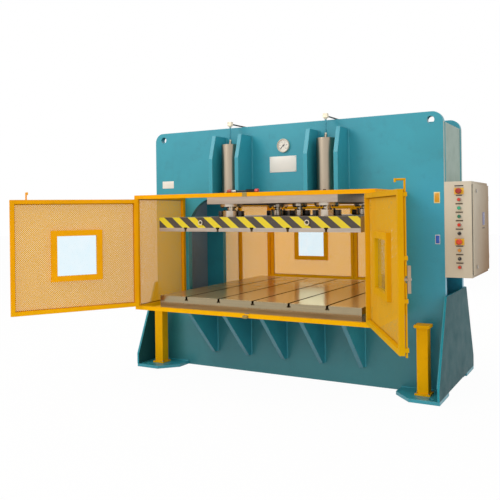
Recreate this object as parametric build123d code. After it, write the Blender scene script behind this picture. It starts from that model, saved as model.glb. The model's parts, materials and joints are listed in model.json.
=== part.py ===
from build123d import *
import os

# Hydraulic press: a welded frame of two window plates, five cylinders that
# hang a slide with T-slots over a bolster with T-slots, mesh guards with
# swing doors at the front and the rear, and a control cabinet on the right.
# The origin is on the floor, in the middle of the frame: X to the right,
# Y to the rear, Z up. All sizes are in millimetres.

# Frame plates
frame_width = 2590
frame_height = 2060
frame_depth = 630
plate_thickness = 50
plate_corner_r = 80
sling_hole_d = 55
sling_hole_side = 90
sling_hole_drop = 60
window_width = 1890
crown_height = 586
window_sill = 560
window_top_r = 300
window_sill_r = 60

# Webs between the plates
web_thickness = 25
web_inset = 2
web_top_drop = 76
side_web_bottom = 850
column_web_side = 168

# Lower side plates and feet
side_plate_thickness = 16
side_plate_top = 717
side_plate_top_half = 343
side_plate_foot_height = 117
side_plate_overhang = 3
foot_thickness = 25
foot_reach = 280
foot_inner_side = 201
foot_chamfer_side = 334
foot_chamfer_reach = 135
anchor_hole_d = 33
anchor_side = 55
anchor_reach = 230

# Posts that stand on the feet
post_tube = 80
post_wall = 5
post_side = 131
post_reach = 124
post_pad = 110
post_base_t = 12
post_cap_t = 20
post_top = 523

# Bed and bolster
table_side_gap = 90
table_reach = 539.5
bed_plate_thickness = 60
bolster_thickness = 58
gusset_thickness = 34
gusset_pitch = 333.5
gusset_count = 5
gusset_nose = 30
gusset_foot_z = 143
gusset_foot_reach = 45
gusset_setback = 124.5

# T-slots
slot_pitch = 300
slot_count = 5
slot_throat = 18
slot_head_width = 30
slot_head_height = 12
slot_depth = 32

# Cylinder plate, ribs and cylinders
cylinder_plate_half_x = 577
cylinder_plate_half_y = 573
cylinder_plate_thickness = 64
rib_thickness = 33
rib_inner_x = 305.5
rib_outer_x = 554.5
rib_front_gap = 24.5
rib_nose_drop = 274
rib_top_drop = 79
rib_top_reach = 172
cylinder_x = 430
cylinder_y = 430
barrel_d = 150
bore_d = 125
barrel_top_drop = 155
barrel_head = 30
collar_d = 190
collar_thickness = 25
gland_d = 190
gland_thickness = 23
rod_d = 63
rod_flange_d = 150
rod_flange_thickness = 48
piston_thickness = 40
piston_head_gap = 2
centre_barrel_d = 120
centre_bore_d = 90
centre_rod_d = 50
centre_gland_d = 130
centre_flange_d = 95
running_gap = 0.05

# Slide
slide_drop = 279.5
slide_thickness = 112
lift_socket_x = 455
lift_socket_w = 42
lift_socket_h = 50
lift_socket_t = 6
lift_socket_bore = 20
lift_socket_drop = 18

# Pipes on the front and rear cylinders
port_d = 24
port_height = 28
pipe_d = 12
pipe_rise = 18
elbow_size = 34

# Gauge on the front plate
gauge_x = 10
gauge_drop = 179
gauge_d = 110
gauge_depth = 17
gauge_rim = 6
gauge_recess = 9
needle_length = 56
needle_tail = 17.5
needle_t = 1.5
needle_hub_t = 3
needle_gap = 2
needle_pin_tip = 2
needle_turned = 135
needle_width = 5
needle_hub_d = 14
needle_pin_d = 4

# Control cabinet
cabinet_half_y = 314
cabinet_depth = 190
cabinet_bottom = 853
cabinet_height = 690
cabinet_wall = 2
cabinet_flange = 25
cabinet_door_margin = 20
cabinet_door_t = 12
cabinet_gap = 0.5
cabinet_panel_t = 3
cabinet_panel_margin = 50
cabinet_pin_d = 8
cabinet_knuckle_h = 40
cabinet_bracket_h = 9.5
cabinet_hinge_end = 120
lock_d = 26
lock_shank_d = 18
lock_tail = 14
lock_slot_w = 3
lock_slot_depth = 2
lock_height = 7
lock_inset = 85
lock_low_distance = 73
lock_top_distance = 70

# Controls on the cabinet front, from the top down
control_side = 104.5
control_top_z = 1474
control_pitch = 60.6
control_count = 10
stop_places = (0, 6)
selector_places = (5, 8)
push_places = (1, 2, 3, 4, 7, 9)
plate_size = 66
plate_t = 2
plate_trim = 6
legend_w = 50
legend_h = 14
bezel_d = 29
bezel_t = 5
socket_d = 22
socket_length = 34
socket_floor = 3
cap_d = 22
cap_t = 9
cap_travel = 4
stem_d = 12
stem_length = 24
mushroom_d = 42
mushroom_t = 22
mushroom_travel = 5
mushroom_chamfer = 7
knob_d = 24
knob_t = 18
knob_grip = 8
knob_base_t = 5
knob_trim = 1
fit_gap = 0.3

# Guards
guard_lap = 62
guard_tube = 30
guard_wall = 2.5
front_guard_gap = 98.5
front_low_z = 571.5
front_top_rise = 13
rear_guard_gap = 435.5
rear_low_z = 588
rear_top_drop = 42
mid_post_distance = 372
finial_d = 26
finial_h = 14
door_gap = 3
door_hinge_gap = 8
door_meeting_gap = 4
door_wall = 2
mesh_t = 1.5
mesh_setback = 3
mesh_fit = 0.3
window_outer = 385
window_open = 300
window_lap = 10
pane_t = 5
left_open_angle = 122
right_open_angle = 119.4
hinge_offset = 9.5
knuckle_d = 18
knuckle_h = 42
knuckle_gap = 1
knuckle_cap = 3
leaf_w = 30
leaf_t = 3
pin_d = 8
hinge_end_share = 0.13
pin_tip_gap = 5

# Door hooks and lever
hook_rod_d = 12
hook_drop = 9
hook_lap = 8
hook_clearance = 2
hook_pad_gap = 1
left_hook_inset = 120
hook_guide_w = 26
hook_guide_h = 22
hook_guide_wall = 3
left_guide_drops = (48,)
right_guide_reach = 110
right_guide_end = 60
left_hook_length = 63
keeper_depth = 24
keeper_play = 1
bolt_tip = 12
right_hook_inset = 15
lever_drop = 38
lever_length = 142
lever_width = 14
lever_hub_d = 18
lever_t = 18
lever_standoff = 18.5
saddle_w = 36
saddle_t = 4

# Cutters and joined pieces run past each other by this much.
over = 1

# Places that follow from the sizes above
half_depth = frame_depth / 2
half_width = frame_width / 2
sling_hole_x = half_width - sling_hole_side
column_web_x = half_width - column_web_side
foot_inner_x = half_width - foot_inner_side
foot_chamfer_x = half_width - foot_chamfer_side
anchor_x = half_width - anchor_side
post_x = half_width - post_side
control_x = half_width + control_side
window_top = frame_height - crown_height
slide_bottom = window_top - slide_drop
front_top_z = window_top + front_top_rise
rear_top_z = window_top - rear_top_drop
lever_pin_z = (front_low_z + front_top_z) / 2 - lever_drop
rib_nose_top = frame_height - rib_nose_drop
rib_top = frame_height - rib_top_drop
barrel_top = frame_height - barrel_top_drop
gauge_z = frame_height - gauge_drop
pipe_top = frame_height + pipe_rise
table_half_x = window_width / 2 - table_side_gap
table_half_y = half_depth + table_reach
guard_half_x = window_width / 2 + guard_lap
front_reach = table_reach + front_guard_gap + guard_tube
rear_reach = table_reach + rear_guard_gap + guard_tube
mid_post_y = half_depth + mid_post_distance
window_frame_t = guard_tube - mesh_setback - mesh_t
plate_inner_y = half_depth - plate_thickness
cylinder_plate_bottom = window_top - cylinder_plate_thickness
bolster_top = window_sill + bed_plate_thickness + bolster_thickness
slide_top = slide_bottom + slide_thickness
cabinet_back_x = half_width
cabinet_front_x = cabinet_back_x + cabinet_depth
cabinet_top = cabinet_bottom + cabinet_height


def block(x0, x1, y0, y1, z0, z1):
    centre = Pos((x0 + x1) / 2, (y0 + y1) / 2, (z0 + z1) / 2)
    return centre * Box(abs(x1 - x0), abs(y1 - y0), abs(z1 - z0))


def post_at(x, y, z0, z1, diameter):
    return Pos(x, y, (z0 + z1) / 2) * Cylinder(diameter / 2, z1 - z0)


def pin_along_x(x0, x1, y, z, diameter):
    return Pos((x0 + x1) / 2, y, z) * Rot(0, 90, 0) * Cylinder(diameter / 2, abs(x1 - x0))


def pin_along_y(x, y0, y1, z, diameter):
    return Pos(x, (y0 + y1) / 2, z) * Rot(90, 0, 0) * Cylinder(diameter / 2, abs(y1 - y0))


def side_profile(points, x0, thickness):
    # A flat plate whose outline is given as (y, z) points.
    outline = make_face(Polyline(*points, close=True))
    return extrude(Plane.YZ.offset(x0) * outline, amount=thickness)


def square_tube(x0, x1, y0, y1, z0, z1, wall, axis, open_start=True, open_end=True):
    # A square tube along one axis; a closed end keeps one wall of metal.
    low = [x0 + wall, y0 + wall, z0 + wall]
    high = [x1 - wall, y1 - wall, z1 - wall]
    outer_low = [x0, y0, z0]
    outer_high = [x1, y1, z1]
    index = "xyz".index(axis)
    if open_start:
        low[index] = outer_low[index] - 1
    if open_end:
        high[index] = outer_high[index] + 1
    inside = block(low[0], high[0], low[1], high[1], low[2], high[2])
    return block(x0, x1, y0, y1, z0, z1) - inside


def both_sides(solid):
    return [solid, mirror(solid, Plane.YZ)]


def front_and_rear(solids):
    return solids + [mirror(solid, Plane.XZ) for solid in solids]


def save(name, solids):
    shape = solids[0] if len(solids) == 1 else Compound(children=list(solids))
    shape.label = name
    export_step(shape, "parts/" + name + ".step")


# Frame

def window_plate():
    outline = make_face(Polyline((-half_width, 0), (half_width, 0), (half_width, frame_height),
                                 (-half_width, frame_height), close=True))
    outline = fillet(outline.vertices().sort_by(Axis.Y)[-2:], plate_corner_r)
    side = window_width / 2
    window = make_face(Polyline((-side, window_sill), (side, window_sill),
                                (side, window_top), (-side, window_top), close=True))
    window = fillet(window.vertices().sort_by(Axis.Y)[-2:], window_top_r)
    window = fillet(window.vertices().sort_by(Axis.Y)[:2], window_sill_r)
    sling_z = frame_height - sling_hole_drop
    holes = [Pos(sign * sling_hole_x, sling_z) * Circle(sling_hole_d / 2) for sign in (-1, 1)]
    sketch = outline - window - holes[0] - holes[1]
    return Rot(90, 0, 0) * extrude(sketch, plate_thickness)


def front_plate():
    return Pos(0, -plate_inner_y, 0) * window_plate()


def rear_plate():
    return Pos(0, half_depth, 0) * window_plate()


def side_webs():
    outer = half_width - web_inset
    web = block(outer - web_thickness, outer, -plate_inner_y, plate_inner_y,
                side_web_bottom, frame_height - web_top_drop)
    return both_sides(web)


def column_webs():
    web = block(column_web_x, column_web_x + web_thickness, -plate_inner_y, plate_inner_y,
                0, frame_height - web_top_drop)
    return both_sides(web)


def crown_webs():
    webs = []
    for x in (rib_inner_x, rib_outer_x):
        web = block(x - rib_thickness / 2, x + rib_thickness / 2, -plate_inner_y, plate_inner_y,
                    window_top, rib_top)
        webs += both_sides(web)
    return webs


def side_plates():
    low_half = half_depth + foot_reach + side_plate_overhang
    points = [(-side_plate_top_half, side_plate_top), (side_plate_top_half, side_plate_top),
              (low_half, side_plate_foot_height), (low_half, foot_thickness),
              (-low_half, foot_thickness), (-low_half, side_plate_foot_height)]
    return both_sides(side_profile(points, half_width, side_plate_thickness))


def foot_plates():
    outer = half_width + side_plate_thickness
    toe = half_depth + foot_reach
    points = [(foot_chamfer_x, -half_depth), (outer, -half_depth), (outer, -toe),
              (foot_inner_x, -toe), (foot_chamfer_x, -half_depth - foot_chamfer_reach)]
    foot = extrude(make_face(Polyline(*points, close=True)), foot_thickness)
    anchor = post_at(anchor_x, -half_depth - anchor_reach, -over, foot_thickness + over,
                     anchor_hole_d)
    return front_and_rear(both_sides(foot - anchor))


def support_posts():
    y = -half_depth - post_reach
    half = post_tube / 2
    pad = post_pad / 2
    base_top = foot_thickness + post_base_t
    cap_bottom = post_top - post_cap_t
    tube = square_tube(post_x - half, post_x + half, y - half, y + half, base_top, cap_bottom,
                       post_wall, "z")
    base = block(post_x - pad, post_x + pad, y - pad, y + pad, foot_thickness, base_top)
    cap = block(post_x - pad, post_x + pad, y - pad, y + pad, cap_bottom, post_top)
    hollow = half - post_wall
    vent = block(post_x - hollow, post_x + hollow, y - hollow, y + hollow,
                 foot_thickness - over, base_top)
    return front_and_rear(both_sides(tube + (base - vent) + cap))


# Bed, bolster and slide

def t_slots(face_z, into):
    # Cutters for the T-slots of a table; into is -1 below the face and 1 above it.
    cutters = []
    end = table_half_y + over
    for number in range(slot_count):
        x = (number - (slot_count - 1) / 2) * slot_pitch
        deep = face_z + into * slot_depth
        head = face_z + into * (slot_depth - slot_head_height)
        out = face_z - into
        throat = block(x - slot_throat / 2, x + slot_throat / 2, -end, end,
                       min(out, deep), max(out, deep))
        wide = block(x - slot_head_width / 2, x + slot_head_width / 2, -end, end,
                     min(head, deep), max(head, deep))
        cutters += [throat, wide]
    return cutters


def bed_plate():
    return block(-table_half_x, table_half_x, -table_half_y, table_half_y,
                 window_sill, window_sill + bed_plate_thickness)


def bolster_plate():
    table = block(-table_half_x, table_half_x, -table_half_y, table_half_y,
                  window_sill + bed_plate_thickness, bolster_top)
    for cutter in t_slots(bolster_top, -1):
        table -= cutter
    return table


def slide_platen():
    table = block(-table_half_x, table_half_x, -table_half_y, table_half_y,
                  slide_bottom, slide_top)
    for cutter in t_slots(slide_bottom, 1):
        table -= cutter
    return table


def lift_sockets():
    # Small socket plates on the front edge of the slide.
    plates = []
    z0 = slide_top - lift_socket_drop - lift_socket_h
    for sign in (-1, 1):
        x = sign * lift_socket_x
        plate = block(x - lift_socket_w / 2, x + lift_socket_w / 2,
                      -table_half_y - lift_socket_t, -table_half_y, z0, z0 + lift_socket_h)
        hole = pin_along_y(x, -table_half_y - lift_socket_t - over, -table_half_y + over,
                           z0 + lift_socket_h / 2, lift_socket_bore)
        plates.append(plate - hole)
    return plates


def gusset_places():
    return [(number - (gusset_count - 1) / 2) * gusset_pitch for number in range(gusset_count)]


def bed_webs():
    half = gusset_thickness / 2
    return [block(x - half, x + half, -plate_inner_y, plate_inner_y, foot_thickness, window_sill)
            for x in gusset_places()]


def bed_gussets():
    tip = table_half_y - gusset_setback
    points = [(-half_depth, window_sill), (-half_depth, gusset_foot_z),
              (-half_depth - gusset_foot_reach, gusset_foot_z),
              (-tip, window_sill - gusset_nose), (-tip, window_sill)]
    solids = [side_profile(points, x - gusset_thickness / 2, gusset_thickness)
              for x in gusset_places()]
    return front_and_rear(solids)


# Cylinder plate, ribs and cylinders

def cylinder_places():
    return [(x, y) for x in (-cylinder_x, cylinder_x) for y in (-cylinder_y, cylinder_y)]


def cylinder_plate():
    plate = block(-cylinder_plate_half_x, cylinder_plate_half_x, -cylinder_plate_half_y,
                  cylinder_plate_half_y, cylinder_plate_bottom, window_top)
    for x, y in cylinder_places():
        plate -= post_at(x, y, cylinder_plate_bottom - over, window_top + over, barrel_d)
    plate -= post_at(0, 0, cylinder_plate_bottom - over, window_top + over, centre_barrel_d)
    return plate


def cylinder_ribs():
    nose = cylinder_plate_half_y - rib_front_gap
    points = [(-half_depth, window_top), (-nose, window_top), (-nose, rib_nose_top),
              (-half_depth - rib_top_reach, rib_top), (-half_depth, rib_top)]
    ribs = []
    for x in (rib_inner_x, rib_outer_x):
        ribs += both_sides(side_profile(points, x - rib_thickness / 2, rib_thickness))
    return front_and_rear(ribs)


def barrel(x, y, outer_d, bore, collar):
    # Tube through the plate, its collar on the plate and a port on its head.
    floor = cylinder_plate_bottom
    shell = post_at(x, y, floor, barrel_top, outer_d)
    shell += post_at(x, y, window_top, window_top + collar_thickness, collar)
    shell += post_at(x, y, barrel_top, barrel_top + port_height, port_d)
    shell -= post_at(x, y, floor - over, barrel_top - barrel_head, bore)
    return shell


def cylinder_barrels():
    barrels = [barrel(x, y, barrel_d, bore_d, collar_d) for x, y in cylinder_places()]
    centre_collar = centre_barrel_d + collar_d - barrel_d
    barrels.append(barrel(0, 0, centre_barrel_d, centre_bore_d, centre_collar))
    return barrels


def gland(x, y, outer_d, rod):
    top = cylinder_plate_bottom
    ring = post_at(x, y, top - gland_thickness, top, outer_d)
    ring -= post_at(x, y, top - gland_thickness - over, top + over, rod + 2 * running_gap)
    return ring


def gland_flanges():
    rings = [gland(x, y, gland_d, rod_d) for x, y in cylinder_places()]
    rings.append(gland(0, 0, centre_gland_d, centre_rod_d))
    return rings


def rod_and_piston(x, y, rod, bore):
    top = barrel_top - barrel_head - piston_head_gap
    shaft = post_at(x, y, slide_top, top, rod)
    piston = post_at(x, y, top - piston_thickness, top, bore - 2 * running_gap)
    return shaft + piston


def slide_rods():
    rods = [rod_and_piston(x, y, rod_d, bore_d) for x, y in cylinder_places()]
    rods.append(rod_and_piston(0, 0, centre_rod_d, centre_bore_d))
    return rods


def rod_flange(x, y, outer_d, rod):
    ring = post_at(x, y, slide_top, slide_top + rod_flange_thickness, outer_d)
    return ring - post_at(x, y, slide_top - over, slide_top + rod_flange_thickness + over, rod)


def rod_flanges():
    rings = [rod_flange(x, y, rod_flange_d, rod_d) for x, y in cylinder_places()]
    rings.append(rod_flange(0, 0, centre_flange_d, centre_rod_d))
    return rings


def oil_pipes():
    # On each side one line joins the front and the rear cylinder over the frame.
    bottom = barrel_top + port_height
    face = elbow_size / 2
    pipes = []
    for x in (-cylinder_x, cylinder_x):
        for y in (-cylinder_y, cylinder_y):
            pipes.append(post_at(x, y, bottom, pipe_top - face, pipe_d))
        pipes.append(pin_along_y(x, -cylinder_y + face, cylinder_y - face, pipe_top, pipe_d))
    return pipes


def pipe_elbows():
    half = elbow_size / 2
    return [block(x - half, x + half, y - half, y + half, pipe_top - half, pipe_top + half)
            for x, y in cylinder_places()]


# Gauge

def gauge_body():
    front = -half_depth - gauge_depth
    case = pin_along_y(gauge_x, front, -half_depth, gauge_z, gauge_d)
    recess = pin_along_y(gauge_x, front - over, front + gauge_recess, gauge_z,
                         gauge_d - 2 * gauge_rim)
    pin = pin_along_y(gauge_x, front + needle_pin_tip, front + gauge_recess, gauge_z,
                      needle_pin_d)
    return [case - recess + pin]


def gauge_needle():
    back = -half_depth - gauge_depth + gauge_recess - needle_gap
    hub = pin_along_y(gauge_x, back - needle_hub_t, back, gauge_z, needle_hub_d)
    arm_back = back - (needle_hub_t - needle_t) / 2
    arm = block(gauge_x - needle_width / 2, gauge_x + needle_width / 2, arm_back - needle_t,
                arm_back, gauge_z - needle_tail, gauge_z + needle_length - needle_tail)
    bore = pin_along_y(gauge_x, back - needle_hub_t - over, back + over, gauge_z,
                       needle_pin_d + 2 * running_gap)
    turn = Pos(gauge_x, 0, gauge_z) * Rot(0, -needle_turned, 0) * Pos(-gauge_x, 0, -gauge_z)
    return [turn * (hub + arm - bore)]


# Control cabinet

def cabinet_box():
    inner_front = cabinet_front_x - cabinet_wall
    shell = block(cabinet_back_x, cabinet_front_x, -cabinet_half_y, cabinet_half_y,
                  cabinet_bottom, cabinet_top)
    wall = cabinet_wall
    shell -= block(cabinet_back_x + wall, inner_front, -cabinet_half_y + wall,
                   cabinet_half_y - wall, cabinet_bottom + wall, cabinet_top - wall)
    mouth = cabinet_flange
    shell -= block(inner_front - over, cabinet_front_x + over, -cabinet_half_y + mouth,
                   cabinet_half_y - mouth, cabinet_bottom + mouth, cabinet_top - mouth)
    for z in control_heights():
        shell -= pin_along_y(control_x, -cabinet_half_y - over, -cabinet_half_y + wall + over, z,
                             socket_d)
    return [shell]


def cabinet_panel():
    x = cabinet_back_x + cabinet_wall
    margin = cabinet_panel_margin
    return [block(x, x + cabinet_panel_t, -cabinet_half_y + margin, cabinet_half_y - margin,
                  cabinet_bottom + margin, cabinet_top - margin)]


def cabinet_hinge_place():
    x = cabinet_front_x + cabinet_gap + cabinet_door_t / 2
    return x, cabinet_half_y - cabinet_door_margin + cabinet_door_t / 2


def cabinet_door():
    margin = cabinet_door_margin
    x0 = cabinet_front_x + cabinet_gap
    x1 = x0 + cabinet_door_t
    y0 = -cabinet_half_y + margin
    y1 = cabinet_half_y - margin
    z0 = cabinet_bottom + margin
    z1 = cabinet_top - margin
    wall = cabinet_wall
    door = block(x0, x1, y0, y1, z0, z1)
    door -= block(x0 - over, x1 - wall, y0 + wall, y1 - wall, z0 + wall, z1 - wall)
    hinge_x, hinge_y = cabinet_hinge_place()
    for z in lock_heights():
        door -= pin_along_x(x0 - over, x1 + over, lock_y(), z, lock_shank_d + 2 * fit_gap)
    solids = [door]
    half = cabinet_knuckle_h / 2
    for z in cabinet_hinge_heights():
        knuckle = post_at(hinge_x, hinge_y, z - half, z + half, cabinet_door_t)
        knuckle += block(x0, x1, y1, hinge_y, z - half, z + half)
        knuckle -= post_at(hinge_x, hinge_y, z - half - over, z + half + over,
                           cabinet_pin_d + 2 * running_gap)
        solids.append(knuckle)
    return solids


def cabinet_hinge_heights():
    return [cabinet_bottom + cabinet_hinge_end, cabinet_top - cabinet_hinge_end]


def cabinet_hinge_pins():
    # Pins with a bracket below each knuckle, fixed to the front of the box.
    hinge_x, hinge_y = cabinet_hinge_place()
    pins = []
    radius = cabinet_pin_d / 2
    for z in cabinet_hinge_heights():
        top = z - cabinet_knuckle_h / 2 - cabinet_gap
        low = top - cabinet_bracket_h
        pin = post_at(hinge_x, hinge_y, low, z + cabinet_knuckle_h / 2, cabinet_pin_d)
        bracket = block(cabinet_front_x, hinge_x + radius, hinge_y - radius,
                        hinge_y + radius + over, low, top)
        pins.append(pin + bracket)
    return pins


def lock_heights():
    return [cabinet_bottom + lock_low_distance, cabinet_top - lock_top_distance]


def lock_y():
    return -cabinet_half_y + cabinet_door_margin + lock_inset


def door_lock(z):
    outer = cabinet_front_x + cabinet_gap + cabinet_door_t
    head = pin_along_x(outer + fit_gap, outer + lock_height, lock_y(), z, lock_d)
    face = outer + lock_height
    shank = pin_along_x(cabinet_front_x - lock_tail, face, lock_y(), z, lock_shank_d)
    slot = block(face - lock_slot_depth, face + over, lock_y() - lock_shank_d / 2,
                 lock_y() + lock_shank_d / 2, z - lock_slot_w / 2, z + lock_slot_w / 2)
    return [head + shank - slot]


def control_heights():
    return [control_top_z - number * control_pitch for number in range(control_count)]


def control_plates():
    # Square plates behind the two stop buttons and a small plate over each other control.
    face = -cabinet_half_y
    heights = control_heights()
    plates = []
    for number, z in enumerate(heights):
        if number in stop_places:
            plate = block(control_x - plate_size / 2, control_x + plate_size / 2,
                          face - plate_t, face, z - plate_size / 2 + plate_trim,
                          z + plate_size / 2 - plate_trim)
            plate -= pin_along_y(control_x, face - plate_t - over, face + over, z, socket_d)
            plates.append(plate)
        if number not in stop_places and number - 1 not in stop_places:
            low = z + (control_pitch - legend_h) / 2
            plates.append(block(control_x - legend_w / 2, control_x + legend_w / 2,
                                face - plate_t, face, low, low + legend_h))
    return plates


def control_face(number):
    return -cabinet_half_y - (plate_t if number in stop_places else 0)


def control_bezels():
    bezels = []
    for number, z in enumerate(control_heights()):
        face = control_face(number)
        bezel = pin_along_y(control_x, face - bezel_t, face, z, bezel_d)
        bezel += pin_along_y(control_x, face - over, -cabinet_half_y + socket_length, z, socket_d)
        back = -cabinet_half_y + socket_length - socket_floor
        bezel -= pin_along_y(control_x, face - bezel_t - over, back, z, stem_d + 2 * fit_gap)
        bezels.append(bezel)
    return bezels


def push_button(number):
    z = control_heights()[number]
    front = control_face(number) - bezel_t
    back = front - cap_travel - fit_gap
    cap = pin_along_y(control_x, back - cap_t, back, z, cap_d)
    stem = pin_along_y(control_x, back - over, back + stem_length, z, stem_d)
    return [cap + stem]


def stop_button(number):
    z = control_heights()[number]
    front = control_face(number) - bezel_t
    back = front - mushroom_travel - fit_gap
    head = pin_along_y(control_x, back - mushroom_t, back, z, mushroom_d)
    head = chamfer(head.edges().sort_by(Axis.Y)[:1], mushroom_chamfer)
    stem = pin_along_y(control_x, back - over, back + stem_length, z, stem_d)
    return [head + stem]


def selector(number):
    z = control_heights()[number]
    back = control_face(number) - bezel_t - fit_gap
    knob = pin_along_y(control_x, back - knob_base_t, back, z, knob_d)
    grip = block(control_x - knob_grip / 2, control_x + knob_grip / 2, back - knob_t, back - over,
                 z - knob_d / 2 + knob_trim, z + knob_d / 2 - knob_trim)
    stem = pin_along_y(control_x, back - over, back + stem_length, z, stem_d)
    return [knob + grip + stem]


# Guards

def hinge_knuckle(axis_x, axis_y, z0, leaf_sign, plate_y, pinned):
    # One half of a door hinge: a knuckle with a leaf on the face of the tube.
    z1 = z0 + knuckle_h
    half = post_at(axis_x, axis_y, z0, z1, knuckle_d)
    leaf_end = axis_x + leaf_sign * leaf_w
    half += block(min(axis_x, leaf_end), max(axis_x, leaf_end), plate_y - leaf_t, plate_y, z0, z1)
    if pinned:
        half += post_at(axis_x, axis_y, z0, z1 + knuckle_h - pin_tip_gap, pin_d)
    else:
        half -= post_at(axis_x, axis_y, z0 - over, z1 - knuckle_cap, pin_d + 2 * running_gap)
    return half


def hinge_axis_x():
    return guard_half_x - guard_tube - door_hinge_gap / 2


def hinge_heights(low, high):
    # Lower end of each post knuckle.
    end = (high - low) * hinge_end_share
    return [low + end, (low + high) / 2 - knuckle_h, high - end - 2 * knuckle_h]


def guard_cage(reach, low_z, top_z, mid_post):
    # Tubes of a guard on the front side: corner posts, wall posts and rails.
    tube = guard_tube
    face = -half_depth - reach
    wall = -half_depth
    outer = guard_half_x
    inner = guard_half_x - tube
    tubes = []
    for post_y in [face, wall - tube] + ([mid_post] if mid_post else []):
        post = square_tube(inner, outer, post_y, post_y + tube, low_z, top_z, guard_wall, "z",
                           True, False)
        tubes += both_sides(post)
    spans = [(face + tube, wall - tube)]
    if mid_post:
        spans = [(face + tube, mid_post), (mid_post + tube, wall - tube)]
    for y0, y1 in spans:
        for z in (low_z, top_z - tube):
            tubes += both_sides(square_tube(inner, outer, y0, y1, z, z + tube, guard_wall, "y"))
    for z in (low_z, top_z - tube):
        tubes.append(square_tube(-inner, inner, face, face + tube, z, z + tube, guard_wall, "x"))
    finial = post_at(outer - tube / 2, wall - tube / 2, top_z, top_z + finial_h, finial_d)
    tubes += both_sides(finial)
    door_low = low_z + tube + door_gap
    door_high = top_z - tube - door_gap
    for z in hinge_heights(door_low, door_high):
        knuckle = hinge_knuckle(-hinge_axis_x(), face - hinge_offset, z, -1, face, True)
        tubes += both_sides(knuckle)
    return tubes


def latch_seats():
    # On the front rails: a steel pad for the upper hook and a keeper for the foot bolt.
    face = -half_depth - front_reach
    x = right_hook_x()
    pad = block(x - saddle_w / 2, x + saddle_w / 2, face - saddle_t, face,
                front_top_z - guard_tube, front_top_z)
    keeper = block(x - saddle_w / 2, x + saddle_w / 2, face - keeper_depth, face,
                   front_low_z, foot_bolt_tip() - hook_clearance)
    keeper -= post_at(x, face - hook_rod_y(), front_low_z - over, foot_bolt_tip(),
                      hook_rod_d + 2 * keeper_play)
    return [pad, keeper]


def cage_mesh(reach, low_z, top_z, mid_post):
    tube = guard_tube
    face = -half_depth - reach
    x = guard_half_x - mesh_setback
    spans = [(face + tube, -half_depth - tube)]
    if mid_post:
        spans = [(face + tube, mid_post), (mid_post + tube, -half_depth - tube)]
    sheets = []
    for y0, y1 in spans:
        sheet = block(x - mesh_t, x, y0, y1, low_z + tube, top_z - tube)
        sheets += both_sides(sheet)
    return sheets


def door_box(low_z, top_z):
    # Closed left door: x range and z range of its tube frame.
    x0 = -guard_half_x + guard_tube + door_hinge_gap
    x1 = -door_meeting_gap / 2
    z0 = low_z + guard_tube + door_gap
    z1 = top_z - guard_tube - door_gap
    return x0, x1, z0, z1


def window_centre(low_z, top_z):
    x0, x1, z0, z1 = door_box(low_z, top_z)
    return (x0 + x1) / 2, (z0 + z1) / 2


def door_frame(reach, low_z, top_z):
    face = -half_depth - reach
    tube = guard_tube
    x0, x1, z0, z1 = door_box(low_z, top_z)
    back = face + tube
    pieces = []
    for x in (x0, x1 - tube):
        pieces.append(square_tube(x, x + tube, face, back, z0, z1, door_wall, "z", True, False))
    for z in (z0, z1 - tube):
        pieces.append(square_tube(x0 + tube, x1 - tube, face, back, z, z + tube, door_wall, "x"))
    cx, cz = window_centre(low_z, top_z)
    front = face + mesh_setback + mesh_t
    rim = window_outer / 2
    hole = window_open / 2
    seat = hole + window_lap + mesh_fit
    ring = block(cx - rim, cx + rim, front, front + window_frame_t, cz - rim, cz + rim)
    ring -= block(cx - hole, cx + hole, front - over, front + window_frame_t + over,
                  cz - hole, cz + hole)
    ring -= block(cx - seat, cx + seat, front - over, front + pane_t, cz - seat, cz + seat)
    pieces.append(ring)
    for z in hinge_heights(z0, z1):
        pieces.append(hinge_knuckle(-hinge_axis_x(), face - hinge_offset,
                                    z + knuckle_h + knuckle_gap, 1, face, False))
    return pieces


def door_mesh(reach, low_z, top_z):
    face = -half_depth - reach
    x0, x1, z0, z1 = door_box(low_z, top_z)
    tube = guard_tube
    cx, cz = window_centre(low_z, top_z)
    hole = window_open / 2
    y = face + mesh_setback
    sheet = block(x0 + tube, x1 - tube, y, y + mesh_t, z0 + tube, z1 - tube)
    return [sheet - block(cx - hole, cx + hole, y - over, y + mesh_t + over, cz - hole, cz + hole)]


def door_pane(reach, low_z, top_z):
    face = -half_depth - reach
    cx, cz = window_centre(low_z, top_z)
    half = window_open / 2 + window_lap
    y = face + mesh_setback + mesh_t
    return [block(cx - half, cx + half, y, y + pane_t, cz - half, cz + half)]


def hook_guides(x, face, heights):
    # Blocks on the outer face of a door that hold a hook bar.
    guides = []
    depth = hook_rod_y() + hook_rod_d / 2 + fit_gap + hook_guide_wall
    for z in heights:
        guide = block(x - hook_guide_w / 2, x + hook_guide_w / 2, face - depth, face,
                      z - hook_guide_h / 2, z + hook_guide_h / 2)
        guide -= post_at(x, face - hook_rod_y(), z - hook_guide_h, z + hook_guide_h,
                         hook_rod_d + 2 * fit_gap)
        guides.append(guide)
    return guides


def hook_rod_y():
    return hook_rod_d / 2 + saddle_t + hook_pad_gap


def hook_bar(x, z_low):
    # A round bar whose upper end turns back over the rail and then drops behind it.
    face = -half_depth - front_reach
    y = face - hook_rod_y()
    back = face + guard_tube + hook_rod_d / 2 + hook_clearance
    tip = front_top_z + hook_clearance
    arm = tip + hook_lap + hook_rod_d / 2
    end = arm + hook_rod_d / 2
    bar = post_at(x, y, z_low, end, hook_rod_d)
    bar += pin_along_y(x, y, back, arm, hook_rod_d)
    bar += post_at(x, back, tip, end, hook_rod_d)
    return bar


def left_hook():
    x = -door_meeting_gap / 2 - left_hook_inset
    return hook_bar(x, front_top_z - left_hook_length)


def right_hook_x():
    return door_meeting_gap / 2 + right_hook_inset


def lever_reach():
    # The upper bar stops just clear of the lever's hub when it is drawn down.
    return lever_hub_d / 2 + hook_drop + fit_gap


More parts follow.
